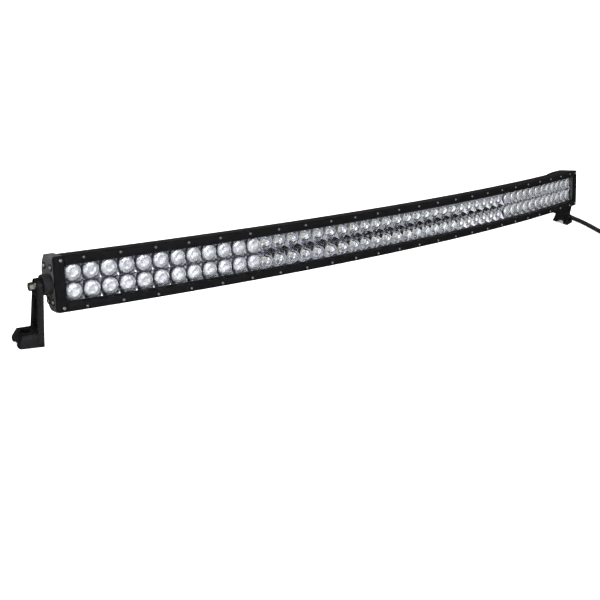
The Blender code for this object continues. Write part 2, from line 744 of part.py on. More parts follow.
def make_tilt_joint(side, prefix, lamp, looks):
    """Spacer, bolt and washers on the lamp, and the bracket on its tilt axis."""
    seat = arc_point(side * HALF_LENGTH, PIVOT_DEPTH, 0.0)
    pivot = add_empty(f"{prefix}_pivot", seat, (0.0, 0.0, side * END_ANGLE), lamp)
    outwards = along_x(side)
    bore = BOLT_RADIUS + GAP

    def washer(name, radius, low, high, look):
        edge = WASHER_EDGE
        profile = [(bore, low), (radius - edge, low), (radius, low + edge)]
        profile += [(radius, high - edge), (radius - edge, high), (bore, high)]
        add_object(name, turned(name, profile, BOLT_SIDES, outwards), looks[look], pivot)

    washer(f"{prefix}_spacer", SPACER_RADIUS, GAP, BRACKET_INNER - GAP, "rubber")
    flat_low = BRACKET_INNER + BOSS_DEPTH + GAP
    flat_high = flat_low + FLAT_WASHER_THICKNESS
    washer(f"{prefix}_flat_washer", FLAT_WASHER_RADIUS, flat_low, flat_high, "zinc")
    spring_low = flat_high + GAP
    spring_high = spring_low + SPRING_WASHER_THICKNESS
    washer(f"{prefix}_spring_washer", SPRING_WASHER_RADIUS, spring_low, spring_high, "zinc")
    head_low = spring_high + GAP
    head = prism("head", circle(HEX_RADIUS, 6), head_low, head_low + HEAD_HEIGHT, outwards)
    shank = prism("shank", circle(BOLT_RADIUS, BOLT_SIDES), BOLT_END, head_low + HEAD_HEIGHT / 2, outwards)
    name = f"{prefix}_pivot_bolt"
    add_object(name, combine(name, head, [shank], "UNION"), looks["zinc"], pivot)
    swing = add_empty(f"{prefix}_bracket_axis", (0.0, 0.0, 0.0), (BRACKET_TILT, 0.0, 0.0), pivot)
    add_object(f"{prefix}_bracket", bracket_mesh(side), looks["bracket"], swing)


def make_gland(lamp, looks):
    """Cable gland: threaded body, clamping nut and tapered strain relief."""
    place = gland_place()
    bore = CABLE_RADIUS + GAP
    stub_outline = circle(GLAND_STUB_RADIUS, BOLT_SIDES)
    stub = prism("stub", stub_outline, -GLAND_STUB, GLAND_HEX_HEIGHT / 2, place)
    hexagon = prism("gland_hex", circle(GLAND_HEX_RADIUS, 6), GAP, GLAND_HEX_HEIGHT, place)
    body = combine("gland_body", hexagon, [stub], "UNION")
    add_object("gland_body", body, looks["plastic"], lamp)
    low = GLAND_HEX_HEIGHT + GAP
    high = low + GLAND_NUT_HEIGHT
    nut_profile = [(bore, low), (GLAND_NUT_RADIUS, low), (GLAND_NUT_RADIUS, high - GLAND_NUT_TAPER)]
    nut_profile += [(BOOT_RADIUS, high), (bore, high)]
    nut = turned("gland_nut", nut_profile, GLAND_SIDES, place)
    add_object("gland_nut", nut, looks["plastic"], lamp)
    boot_low = high + GAP
    boot_high = boot_low + BOOT_LENGTH
    boot_profile = [(0.0, boot_low), (BOOT_RADIUS, boot_low)]
    boot_profile += [(BOOT_TIP_RADIUS, boot_high), (0.0, boot_high)]
    boot = turned("strain_relief", boot_profile, GLAND_SIDES, place)
    add_object("strain_relief", boot, looks["rubber"], lamp)
    return boot_high


def make_vent(lamp, looks):
    """Breather plug beside the gland."""
    stem, radius, high = VENT_STEM_RADIUS, VENT_RADIUS, VENT_HEIGHT
    profile = [(0.0, -VENT_STEM), (stem, -VENT_STEM), (stem, GAP), (radius, GAP)]
    profile += [(radius, high - VENT_EDGE), (radius - VENT_EDGE, high), (0.0, high)]
    mesh = turned("breather_vent", profile, VENT_SIDES, vent_place())
    add_object("breather_vent", mesh, looks["plastic"], lamp)


def smooth_path(points, count):
    """Evenly spread points of a Catmull-Rom curve through the given ones."""
    padded = [points[0] * 2 - points[1], *points, points[-1] * 2 - points[-2]]
    fine = []
    for a, b, c, d in zip(padded, padded[1:], padded[2:], padded[3:]):
        square = 2 * a - 5 * b + 4 * c - d
        cube = 3 * b - a - 3 * c + d
        for i in range(PATH_STEPS):
            t = i / PATH_STEPS
            fine.append((2 * b + (c - a) * t + square * t**2 + cube * t**3) / 2)
    fine.append(points[-1])
    lengths = [0.0]
    for near, far in zip(fine, fine[1:]):
        lengths.append(lengths[-1] + (far - near).length)
    spread = []
    index = 0
    for k in range(count):
        target = lengths[-1] * k / (count - 1)
        while index < len(fine) - 2 and lengths[index + 1] < target:
            index += 1
        share = (target - lengths[index]) / (lengths[index + 1] - lengths[index])
        spread.append(fine[index].lerp(fine[index + 1], share))
    return spread


def make_cable(lamp, looks, boot_end):
    """Lead from the gland down to the mounting plane and forward past the right foot."""
    bpy.context.view_layer.update()
    exit_frame = lamp.matrix_world @ gland_place()
    start = exit_frame @ Vector((0.0, 0.0, boot_end + GAP))
    lead_in = exit_frame @ Vector((0.0, 0.0, boot_end + CABLE_LEAD_IN))
    route = [start, lead_in, *(Vector(point) * MM for point in CABLE_ROUTE)]
    ahead = (CONNECTOR_AT - route[-1]).normalized()
    route.append(CONNECTOR_AT - ahead * GAP)
    curve = bpy.data.curves.new("power_cable", "CURVE")
    curve.dimensions = "3D"
    curve.bevel_depth = CABLE_RADIUS
    curve.bevel_resolution = 2
    curve.use_fill_caps = True
    spline = curve.splines.new("POLY")
    points = smooth_path(route, CABLE_POINTS)
    spline.points.add(len(points) - 1)
    for slot, point in zip(spline.points, points):
        slot.co = (*point, 1.0)
    add_object("power_cable", curve, looks["rubber"])
    make_connector(ahead, looks)


def make_connector(ahead, looks):
    """Sealed two-pin plug: rear seal cap, body and open socket."""
    turn = ahead.to_track_quat("Z", "Y").to_matrix().to_4x4()
    place = Matrix.Translation(CONNECTOR_AT) @ turn
    wide, high = CONNECTOR_HALF_WIDTH, CONNECTOR_HALF_HEIGHT
    corner = CONNECTOR_CORNER

    def box(half_x, half_y):
        return [
            (half_x, -half_y + corner),
            (half_x, half_y - corner),
            (half_x - corner, half_y),
            (-half_x + corner, half_y),
            (-half_x, half_y - corner),
            (-half_x, -half_y + corner),
            (-half_x + corner, -half_y),
            (half_x - corner, -half_y),
        ]

    seal_outline = box(wide - PLUG_SEAL_INSET, high - PLUG_SEAL_INSET)
    seal = prism("connector_seal", seal_outline, 0.0, PLUG_SEAL_LENGTH, place)
    add_object("connector_seal", seal, looks["rubber"])
    body = prism("connector", box(wide, high), PLUG_SEAL_LENGTH + GAP, CONNECTOR_LENGTH, place)
    mouth_outline = box(wide - CONNECTOR_WALL, high - CONNECTOR_WALL)
    mouth_floor = CONNECTOR_LENGTH - MOUTH_DEPTH
    mouth = prism("mouth", mouth_outline, mouth_floor, CONNECTOR_LENGTH + OVERSHOOT, place)
    add_object("connector", combine("connector", body, [mouth], "DIFFERENCE"), looks["plastic"])


def make_looks():
    """One plain finish per kind of material."""
    return {
        "housing": material("black_anodised_aluminium", (0.018, 0.018, 0.02), 0.42, 0.6),
        "cap": material("grey_cast_aluminium", (0.12, 0.12, 0.125), 0.45, 0.7),
        "bezel": material("satin_black_bezel", (0.012, 0.012, 0.013), 0.4, 0.2),
        "lens": material("clear_polycarbonate", (0.95, 0.97, 1.0), 0.03, 0.0, 1.0),
        "chrome": material("chromed_reflector", (0.82, 0.83, 0.86), 0.12, 1.0),
        "board": material("white_circuit_board", (0.75, 0.76, 0.72), 0.5),
        "rubber": material("black_rubber", (0.01, 0.01, 0.01), 0.7),
        "bracket": material("black_cast_bracket", (0.014, 0.014, 0.015), 0.38, 0.3),
        "zinc": material("zinc_plated_steel", (0.62, 0.6, 0.55), 0.3, 1.0),
        "plastic": material("black_nylon", (0.015, 0.015, 0.016), 0.5),
    }


def main():
    clear_scene()
    looks = make_looks()
    # The tilt turns the lamp about the line through both bolts, PIVOT_HEIGHT above the feet.
    back, up = PIVOT_Y * math.cos(LAMP_TILT), PIVOT_Y * math.sin(LAMP_TILT)
    lamp = add_empty("lamp_frame", (0.0, -back, PIVOT_HEIGHT + up), (-LAMP_TILT, 0.0, 0.0))
    make_housing(lamp, looks)
    make_wiring_cover(lamp, looks)
    for side, prefix in ((-1, "left"), (1, "right")):
        make_end_cap(side, f"{prefix}_end_cap", lamp, looks)
        make_end_seal(side, f"{prefix}_end_seal", lamp, looks)
        make_bezel_end(side, f"{prefix}_bezel_end", lamp, looks)
        make_tilt_joint(side, prefix, lamp, looks)
    for side, prefix in ((1, "top"), (-1, "bottom")):
        make_bezel_strip(side, f"{prefix}_bezel", lamp, looks)
        make_lens_seal(side, f"{prefix}_lens_seal", lamp, looks)
    make_cover_lens(lamp, looks)
    make_modules(lamp, looks)
    boot_end = make_gland(lamp, looks)
    make_vent(lamp, looks)
    make_cable(lamp, looks, boot_end)


main()
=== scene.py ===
"""Looks of a curved double-row LED light bar, laid out as a Blender add-on.

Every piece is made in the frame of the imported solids: metres, +Z up, +X along the bar to
the end with the lead, -Y the way the light points. Along the bar, s is the arc length on
the bezel face, d the depth behind that face and z the height above the middle of the bar.
"""

import math

import bmesh
import bpy
from mathutils import Matrix, Vector


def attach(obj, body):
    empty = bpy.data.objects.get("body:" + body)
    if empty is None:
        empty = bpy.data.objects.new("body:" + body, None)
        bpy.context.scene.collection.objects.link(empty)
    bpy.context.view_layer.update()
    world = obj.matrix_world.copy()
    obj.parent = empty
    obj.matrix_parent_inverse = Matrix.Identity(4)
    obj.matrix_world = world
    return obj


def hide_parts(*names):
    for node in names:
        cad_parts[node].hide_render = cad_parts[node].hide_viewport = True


bl_info = {
    "name": "Curved LED light bar",
    "version": (1, 0, 0),
    "blender": (4, 5, 0),
    "location": "View3D > Sidebar > Light Bar",
    "description": "Builds the visible pieces and finishes of a curved LED light bar",
    "category": "Add Mesh",
}

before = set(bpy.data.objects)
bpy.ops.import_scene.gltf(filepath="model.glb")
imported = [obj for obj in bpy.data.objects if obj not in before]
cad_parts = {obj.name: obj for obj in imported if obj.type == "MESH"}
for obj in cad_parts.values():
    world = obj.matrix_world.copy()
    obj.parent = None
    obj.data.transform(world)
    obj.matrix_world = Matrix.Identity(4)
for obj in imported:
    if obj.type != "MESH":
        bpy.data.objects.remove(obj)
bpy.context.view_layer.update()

MM = 0.001
GAP = 0.3 * MM

# Lamp body
FRONT_RADIUS = 3096.9 * MM
HALF_LENGTH = 615.0 * MM
HALF_HEIGHT = 35.5 * MM
LAMP_TILT = math.radians(16.0)
PIVOT_DEPTH = 17.2 * MM
PIVOT_HEIGHT = 79.0 * MM
END_ANGLE = HALF_LENGTH / FRONT_RADIUS
PIVOT_Y = FRONT_RADIUS - (FRONT_RADIUS - PIVOT_DEPTH) * math.cos(END_ANGLE)
ARC_STEPS = 96

# Front frame
BEZEL_THICKNESS = 4.0 * MM
WINDOW_HALF_HEIGHT = 24.2 * MM
WINDOW_HALF_LENGTH = 601.0 * MM
LIP_DEPTH = 7.4 * MM
LIP_THICKNESS = 1.2 * MM
LENS_FRONT = 4.4 * MM
LENS_THICKNESS = 3.0 * MM
LENS_HALF_HEIGHT = 22.6 * MM
SCREW_ROW_HEIGHT = 31.0 * MM
CORNER_SCREW_S = 605.5 * MM
CORNER_SCREW_Z = 30.0 * MM

# Optics
CELL_PITCH = 25.0 * MM
COLUMNS_PER_MODULE = 6
MODULES = 8
FLOOD_MODULES = (1, 2, 7, 8)
REFLECTOR_FRONT = 9.2 * MM
REFLECTOR_BACK = 20.6 * MM
MODULE_FILL = 0.9965
CUP_FLOOR_RADIUS = 4.2 * MM
BOARD_FRONT = 22.2 * MM
BOARD_BACK = 23.8 * MM
BOARD_INSET = 0.6 * MM
CHIP_HALF = 2.5 * MM
CHIP_HEIGHT = 1.2 * MM

# Housing
WALL_FRONT = BEZEL_THICKNESS + GAP
SEAT_HALF_HEIGHT = 28.8 * MM
SEAT_DEPTH = 8.0 * MM
CHANNEL_HALF_HEIGHT = 26.6 * MM
CHANNEL_BACK = 24.5 * MM
FIN_ROOT = 28.0 * MM
SHOULDER_DEPTH = 25.0 * MM
FIN_THICKNESS = 2.2 * MM
FIN_PITCH = 7.85 * MM
FIN_INSET = 1.5 * MM
FINS_ABOVE = 4
FINS_BELOW = 3
FLOOR_LOW = -29.5 * MM
BELLY_DEPTH = 22.0 * MM
HOUSING_END = 599.7 * MM
COVER_START = 526.0 * MM

# Tilt joint, measured outwards from the end cap face
HEAD_LOW = 21.1 * MM
HEAD_HEIGHT = 6.6 * MM
HEX_RADIUS = 5.7 * MM
BOLT_RADIUS = 3.0 * MM
BOLT_END = -10.0 * MM

# Gland and lead
GLAND_S = 578.0 * MM
GLAND_Z = 3.0 * MM
VENT_S = 556.0 * MM
REAR_DEPTH = 47.0 * MM
NUT_LOW = 5.3 * MM
NUT_RADIUS = 9.6 * MM
BOOT_LOW = 14.6 * MM
BOOT_LENGTH = 14.0 * MM
BOOT_RADIUS = 7.4 * MM
BOOT_TIP_RADIUS = 5.5 * MM
CABLE_LEAD_IN = 6.0 * MM
CABLE_ROUTE = (
    (0.5583, 0.0615, 0.0628),
    (0.5574, 0.0745, 0.0550),
    (0.5594, 0.0865, 0.0440),
    (0.5654, 0.0965, 0.0316),
    (0.5764, 0.1036, 0.0200),
    (0.5916, 0.1076, 0.0108),
    (0.6088, 0.1080, 0.0059),
    (0.6262, 0.1034, 0.0048),
    (0.6416, 0.0936, 0.0046),
    (0.6532, 0.0798, 0.0046),
    (0.6602, 0.0626, 0.0046),
    (0.6642, 0.0434, 0.0046),
    (0.6656, 0.0224, 0.0046),
    (0.6656, 0.0022, 0.0046),
    (0.6644, -0.0180, 0.0046),
    (0.6612, -0.0362, 0.0046),
    (0.6558, -0.0540, 0.0046),
    (0.6502, -0.0720, 0.0047),
    (0.6464, -0.0880, 0.0056),
    (0.6440, -0.1020, 0.0069),
)
CONNECTOR_AT = Vector((0.6424, -0.1150, 0.0074))
CONNECTOR_LENGTH = 34.0 * MM
CONNECTOR_HALF_WIDTH = 8.0 * MM
CONNECTOR_HALF_HEIGHT = 7.0 * MM

# Camera of the photograph: rows of its place in the scene, and its lens
CAMERA_ROWS = (
    (0.70671, 0.17294, -0.68604, -1.27803),
    (-0.68882, 0.38955, -0.61137, -1.01156),
    (0.16151, 0.90462, 0.39443, 0.62055),
    (0.0, 0.0, 0.0, 1.0),
)
CAMERA_LENS = 62.407

# Studio: the side the light comes from, its soft boxes and the floor that sweeps up round it
KEY_DIRECTION = (-0.25, -0.9, 0.35)
SOFT_BOX_SCALE = 4.2
SOFT_BOX_EDGE = (0.3, 0.42)
SOFT_BOX_GAIN = (2.5, 0.6)
WHITE = (1.0, 1.0, 1.0)
FLOOR_FLAT = 6.0
FLOOR_BEND = 2.0
FLOOR_WALL = 6.0

LAMP = Matrix.Translation(
    (0.0, -PIVOT_Y * math.cos(LAMP_TILT), PIVOT_HEIGHT + PIVOT_Y * math.sin(LAMP_TILT))
) @ Matrix.Rotation(-LAMP_TILT, 4, "X")
FACING_FRONT = Matrix.Rotation(math.pi / 2, 4, "X")
FACING_BACK = Matrix.Rotation(-math.pi / 2, 4, "X")
SIDES = ((-1, "left"), (1, "right"))


class LightBarSizes(bpy.types.PropertyGroup):
    """Sizes of the visible detail."""

    screw_pitch: bpy.props.FloatProperty(
        name="Bezel screw pitch",
        description="Distance along the arc between two bezel screws",
        default=0.050,
        unit="LENGTH",
    )
    screw_radius: bpy.props.FloatProperty(
        name="Bezel screw radius",
        description="Radius of the domed head of a bezel screw",
        default=0.0019,
        unit="LENGTH",
    )
    cup_radius: bpy.props.FloatProperty(
        name="Cup radius",
        description="Radius of the round part of a reflector cup",
        default=0.0121,
        unit="LENGTH",
    )
    cup_sides: bpy.props.IntProperty(
        name="Cup facets",
        description="Facets round a reflector cup",
        default=8,
        min=8,
    )
    cup_rings: bpy.props.IntProperty(
        name="Cup rings",
        description="Rings of facets between the emitter and the mouth of a cup",
        default=4,
        min=2,
    )
    optic_radius: bpy.props.FloatProperty(
        name="Collimator radius",
        description="Radius of the collimators in the outer modules",
        default=0.0111,
        unit="LENGTH",
    )
    cable_diameter: bpy.props.FloatProperty(
        name="Lead diameter",
        description="Outer diameter of the lead",
        default=0.0088,
        unit="LENGTH",
    )
    edge_radius: bpy.props.FloatProperty(
        name="Cast edge radius",
        description="Rounding of the edges of cast pieces",
        default=0.0006,
        unit="LENGTH",
    )


class LightBarColours(bpy.types.PropertyGroup):
    """Colours of the finishes."""

    bezel: bpy.props.FloatVectorProperty(
        name="Bezel",
        description="Powder coat of the front frame",
        subtype="COLOR",
        default=(0.0025, 0.0025, 0.003),
    )
    housing: bpy.props.FloatVectorProperty(
        name="Housing",
        description="Anodised finish of the finned housing",
        subtype="COLOR",
        default=(0.006, 0.006, 0.0065),
    )
    # Only the end caps take this colour: their dark coat is lightened to stand in for the light that falls
    # on them, which is painted light.
    cap: bpy.props.FloatVectorProperty(
        name="End cap",
        description="Coated casting of the end caps and wiring cover",
        subtype="COLOR",
        default=(0.06, 0.06, 0.062),
    )
    bracket: bpy.props.FloatVectorProperty(
        name="Bracket",
        description="Coated casting of the tilt brackets",
        subtype="COLOR",
        default=(0.003, 0.003, 0.0034),
    )
    reflector: bpy.props.FloatVectorProperty(
        name="Reflector",
        description="Metallised surface of the reflector cups",
        subtype="COLOR",
        default=(0.86, 0.87, 0.92),
    )
    optic: bpy.props.FloatVectorProperty(
        name="Collimator",
        description="Tone of the moulded collimators",
        subtype="COLOR",
        default=(0.86, 0.87, 0.94),
    )
    zinc: bpy.props.FloatVectorProperty(
        name="Zinc",
        description="Plating of bolts and washers",
        subtype="COLOR",
        default=(0.36, 0.34, 0.29),
    )
    steel: bpy.props.FloatVectorProperty(
        name="Stainless steel",
        description="Bezel and cap screws",
        subtype="COLOR",
        default=(0.6, 0.6, 0.6),
    )
    rubber: bpy.props.FloatVectorProperty(
        name="Rubber",
        description="Seals, spacers and the sheath of the lead",
        subtype="COLOR",
        default=(0.009, 0.009, 0.009),
    )
    nylon: bpy.props.FloatVectorProperty(
        name="Nylon",
        description="Gland, vent and connector",
        subtype="COLOR",
        default=(0.012, 0.012, 0.013),
    )
    floor: bpy.props.FloatVectorProperty(
        name="Floor",
        description="Pale studio floor",
        subtype="COLOR",
        default=(0.9, 0.9, 0.9),
    )


def sizes():
    """Sizes held by the scene."""
    return bpy.context.scene.light_bar_sizes


def colours():
    """Colours held by the scene."""
    return bpy.context.scene.light_bar_colours


def arc_frame(s, d, z):
    """Frame on the arc: X along the bar, Y backwards, Z up the lamp."""
    angle = s / FRONT_RADIUS
    radius = FRONT_RADIUS - d
    seat = (radius * math.sin(angle), FRONT_RADIUS - radius * math.cos(angle), z)
    return LAMP @ Matrix.Translation(seat) @ Matrix.Rotation(angle, 4, "Z")


def arc_point(s, d, z):
    """A point of the lamp in the scene."""
    return arc_frame(s, d, z).translation


def end_frame(side, d=PIVOT_DEPTH, z=0.0):
    """Frame on an end cap face, with +Z pointing outwards."""
    return arc_frame(side * HALF_LENGTH, d, z) @ Matrix.Rotation(side * math.pi / 2, 4, "Y")


def circle(radius, sides, turn=0.0):
    """Points of a regular outline round the origin."""
    steps = [turn + 2 * math.pi * i / sides for i in range(sides)]
    return [(radius * math.cos(a), radius * math.sin(a)) for a in steps]


def rounded(corners, steps=3):
    """Replace the corners of a closed outline, each (x, y, radius), by short arcs."""
    points = []
    for i, (x, y, radius) in enumerate(corners):
        here = Vector((x, y))
        if radius == 0.0:
            points.append((x, y))
            continue
        before = (Vector(corners[i - 1][:2]) - here).normalized()
        after = (Vector(corners[(i + 1) % len(corners)][:2]) - here).normalized()
        for k in range(steps + 1):
            t = k / steps
            pull = before * (1.0 - t) ** 2 + after * t**2
            points.append(tuple(here + pull * radius))
    return points


def mesh_from(name, shape, smooth_angle=35.0):
    """Turn a bmesh into a mesh whose faces point out, smooth up to an angle."""
    bmesh.ops.recalc_face_normals(shape, faces=shape.faces)
    mesh = bpy.data.meshes.new(name)
    shape.to_mesh(mesh)
    shape.free()
    if smooth_angle:
        mesh.shade_smooth()
        mesh.set_sharp_from_angle(angle=math.radians(smooth_angle))
    return mesh


def skin_rings(shape, rings, capped=True):
    """Join closed loops of points one after the other into a skin."""
    loops = [[shape.verts.new(point) for point in ring] for ring in rings]
    for near, far in zip(loops, loops[1:]):
        for i in range(len(near)):
            j = (i + 1) % len(near)
            shape.faces.new((near[i], near[j], far[j], far[i]))
    if capped:
        shape.faces.new(loops[0])
        shape.faces.new(loops[-1])
    return loops


def arc_stations(start, end):
    """Arc lengths of a swept piece, fine enough to shade as one curve."""
    count = max(1, round(ARC_STEPS * (end - start) / (2 * HALF_LENGTH)))
    return [start + (end - start) * i / count for i in range(count + 1)]


def sweep(name, outline, stations, smooth_angle=35.0):
    """Sweep a closed (d, z) outline along the arc."""
    shape = bmesh.new()
    skin_rings(shape, [[arc_point(s, d, z) for d, z in outline] for s in stations])
    return mesh_from(name, shape, smooth_angle)


def lathe_into(shape, profile, sides, place):
    """Revolve (radius, height) points into a bmesh; zero radius closes an end."""
    rings = []
    for radius, height in profile:
        if radius == 0.0:
            rings.append([shape.verts.new(place @ Vector((0.0, 0.0, height)))])
        else:
            points = circle(radius, sides)
            rings.append([shape.verts.new(place @ Vector((x, y, height))) for x, y in points])
    pairs = list(zip(rings, rings[1:]))
    if profile[0][0] != 0.0:
        pairs.append((rings[-1], rings[0]))
    for near, far in pairs:
        for i in range(sides):
            j = (i + 1) % sides
            if len(near) == 1:
                shape.faces.new((near[0], far[j], far[i]))
            elif len(far) == 1:
                shape.faces.new((near[i], near[j], far[0]))
            else:
                shape.faces.new((near[i], near[j], far[j], far[i]))


def prism_into(shape, levels, place):
    """Stack (outline, height) levels with equal point counts into a closed solid."""
    rings = [[place @ Vector((x, y, h)) for x, y in outline] for outline, h in levels]
    skin_rings(shape, rings)


def add_piece(name, mesh, finishes, body="lamp", stands_for=(), place=None):
    """Put a piece into the scene, on its body and in place of its solids."""
    piece = bpy.data.objects.new(name, mesh)
    bpy.context.scene.collection.objects.link(piece)
    if not mesh.materials:
        for look in finishes:
            mesh.materials.append(look)
    if place is not None:
        piece.matrix_world = place
    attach(piece, body)
    if stands_for:
        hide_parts(*stands_for)
    return piece


def softened_copy(node, radius, segments=2, angle=28.0):
    """Copy of a solid's mesh with its sharp edges rounded."""
    shape = bmesh.new()
    shape.from_mesh(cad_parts[node].data)
    bmesh.ops.remove_doubles(shape, verts=shape.verts, dist=0.02 * MM)
    bmesh.ops.dissolve_limit(
        shape, angle_limit=math.radians(0.6), verts=shape.verts, edges=shape.edges
    )
    limit = math.radians(angle)
    sharp = [e for e in shape.edges if e.is_manifold and e.calc_face_angle() > limit]
    bmesh.ops.bevel(
        shape,
        geom=sharp,
        offset=radius,
        segments=segments,
        profile=0.5,
        affect="EDGES",
        clamp_overlap=True,
    )
    return mesh_from(f"{node}_soft", shape, 40.0)


def dress_node(node, look):
    """Give a solid that is shown as it is a better finish."""
    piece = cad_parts[node]
    piece.data.materials.clear()
    piece.data.materials.append(look)


def new_finish(name, colour, roughness, metallic=0.0, specular=0.5):
    """A Principled finish with its even values set, and its node tree."""
    look = bpy.data.materials.new(name)
    look.use_nodes = True
    tree = look.node_tree
    shader = tree.nodes["Principled BSDF"]
    shader.inputs["Base Color"].default_value = (*colour, 1.0)
    shader.inputs["Roughness"].default_value = roughness
    shader.inputs["Metallic"].default_value = metallic
    shader.inputs["Specular IOR Level"].default_value = specular
    return look, tree, shader


def grain(tree, scale, detail=3.0, stretch=(1.0, 1.0, 1.0)):
    """Noise in the piece's own space, stretched where the finish has a direction."""
    where = tree.nodes.new("ShaderNodeTexCoord")
    turn = tree.nodes.new("ShaderNodeMapping")
    noise = tree.nodes.new("ShaderNodeTexNoise")
    turn.inputs["Scale"].default_value = stretch
    noise.inputs["Scale"].default_value = scale
    noise.inputs["Detail"].default_value = detail
    tree.links.new(where.outputs["Object"], turn.inputs["Vector"])
    tree.links.new(turn.outputs["Vector"], noise.inputs["Vector"])
    return noise.outputs["Fac"]


def spread_roughness(tree, shader, fac, low, high):
    """Let the roughness wander between two values."""
    span = tree.nodes.new("ShaderNodeMapRange")
    span.inputs["From Min"].default_value = 0.3
    span.inputs["From Max"].default_value = 0.7
    span.inputs["To Min"].default_value = low
    span.inputs["To Max"].default_value = high
    tree.links.new(fac, span.inputs["Value"])
    tree.links.new(span.outputs["Result"], shader.inputs["Roughness"])


def spread_colour(tree, shader, fac, first, second):
    """Let the colour wander between two tones."""
    blend = tree.nodes.new("ShaderNodeValToRGB")
    blend.color_ramp.elements[0].position = 0.35
    blend.color_ramp.elements[0].color = (*first, 1.0)
    blend.color_ramp.elements[1].position = 0.65
    blend.color_ramp.elements[1].color = (*second, 1.0)
    tree.links.new(fac, blend.inputs["Fac"])
    tree.links.new(blend.outputs["Color"], shader.inputs["Base Color"])


def emboss(tree, shader, fac, depth, strength=1.0):
    """Raise the surface by a noise."""
    bump = tree.nodes.new("ShaderNodeBump")
    bump.inputs["Strength"].default_value = strength
    bump.inputs["Distance"].default_value = depth
    tree.links.new(fac, bump.inputs["Height"])
    tree.links.new(bump.outputs["Normal"], shader.inputs["Normal"])


def toned(colour, share):
    """A colour made lighter or darker."""
    return tuple(min(1.0, c * share) for c in colour)


def powder_coat(name, colour, roughness, specular):
    """Fine-textured black powder coat."""
    look, tree, shader = new_finish(name, colour, roughness, 0.0, specular)
    fine = grain(tree, 1400.0, 2.0)
    broad = grain(tree, 55.0, 4.0)
    spread_roughness(tree, shader, broad, roughness - 0.05, roughness + 0.06)
    spread_colour(tree, shader, broad, toned(colour, 0.8), toned(colour, 1.3))
    emboss(tree, shader, fine, 0.04 * MM, 0.25)
    return look


def anodised(name, colour):
    """Black anodised extrusion with faint die lines along the bar."""
    look, tree, shader = new_finish(name, colour, 0.4, 0.0, 0.12)
    lines = grain(tree, 900.0, 2.0, (0.004, 1.0, 1.0))
    broad = grain(tree, 40.0, 3.0)
    spread_roughness(tree, shader, lines, 0.32, 0.5)
    spread_colour(tree, shader, broad, toned(colour, 0.85), toned(colour, 1.35))
    emboss(tree, shader, lines, 0.03 * MM, 0.3)
    return look


def cast_coat(name, colour, roughness, specular, metallic):
    """Coated casting with a slightly uneven skin."""
    look, tree, shader = new_finish(name, colour, roughness, metallic, specular)
    skin = grain(tree, 420.0, 3.0)
    broad = grain(tree, 60.0, 3.0)
    spread_roughness(tree, shader, broad, roughness - 0.06, roughness + 0.07)
    spread_colour(tree, shader, broad, toned(colour, 0.8), toned(colour, 1.3))
    emboss(tree, shader, skin, 0.08 * MM, 0.3)
    return look


def metallised(name, colour):
    """Vacuum-metallised plastic with a faint orange peel."""
    look, tree, shader = new_finish(name, colour, 0.12, 1.0)
    peel = grain(tree, 700.0, 1.0)
    broad = grain(tree, 120.0, 2.0)
    spread_roughness(tree, shader, broad, 0.08, 0.2)
    spread_colour(tree, shader, broad, toned(colour, 0.94), toned(colour, 1.04))
    emboss(tree, shader, peel, 0.05 * MM, 0.3)
    return look


def plated(name, colour, roughness):
    """Plated steel with a mottled sheen."""
    look, tree, shader = new_finish(name, colour, roughness, 1.0)
    mottle = grain(tree, 260.0, 4.0)
    spread_roughness(tree, shader, mottle, roughness - 0.08, roughness + 0.1)
    spread_colour(tree, shader, mottle, toned(colour, 0.82), toned(colour, 1.15))
    emboss(tree, shader, grain(tree, 1600.0, 2.0), 0.02 * MM, 0.2)
    return look


def moulded(name, colour, roughness, grain_scale):
    """Moulded rubber or nylon with a fine spark-eroded grain."""
    look, tree, shader = new_finish(name, colour, roughness, 0.0, 0.2)
    skin = grain(tree, grain_scale, 2.0)
    broad = grain(tree, 80.0, 3.0)
    spread_roughness(tree, shader, broad, roughness - 0.07, roughness + 0.08)
    spread_colour(tree, shader, broad, toned(colour, 0.8), toned(colour, 1.35))
    emboss(tree, shader, skin, 0.05 * MM, 0.3)
    return look


def clear_cover(name):
    """Clear polycarbonate sheet."""
    look, tree, shader = new_finish(name, (0.03, 0.035, 0.04), 0.03)
    shader.inputs["Alpha"].default_value = 0.06
    spread_roughness(tree, shader, grain(tree, 30.0, 2.0), 0.02, 0.06)
    return look


def moulded_optic(name, colour):
    """Clear moulded optic, seen as the bright white of its facets."""
    look, tree, shader = new_finish(name, colour, 0.16, 0.8, 0.7)
    broad = grain(tree, 160.0, 3.0)
    shader.inputs["Coat Weight"].default_value = 0.5
    shader.inputs["Coat Roughness"].default_value = 0.04
    spread_roughness(tree, shader, broad, 0.1, 0.26)
    spread_colour(tree, shader, broad, toned(colour, 0.85), toned(colour, 1.12))
    return look


def solder_mask(name):
    """White circuit board."""
    look, tree, shader = new_finish(name, (0.78, 0.79, 0.76), 0.45)
    broad = grain(tree, 200.0, 3.0)
    spread_roughness(tree, shader, broad, 0.38, 0.55)
    spread_colour(tree, shader, broad, (0.74, 0.75, 0.71), (0.82, 0.83, 0.8))
    return look


def phosphor(name):
    """Pale yellow phosphor under the silicone of an emitter."""
    look, tree, shader = new_finish(name, (0.5, 0.48, 0.38), 0.25)
    shader.inputs["Coat Weight"].default_value = 0.8
    shader.inputs["Coat Roughness"].default_value = 0.05
    spread_colour(tree, shader, grain(tree, 900.0, 2.0), (0.46, 0.44, 0.33), (0.54, 0.52, 0.43))
    return look


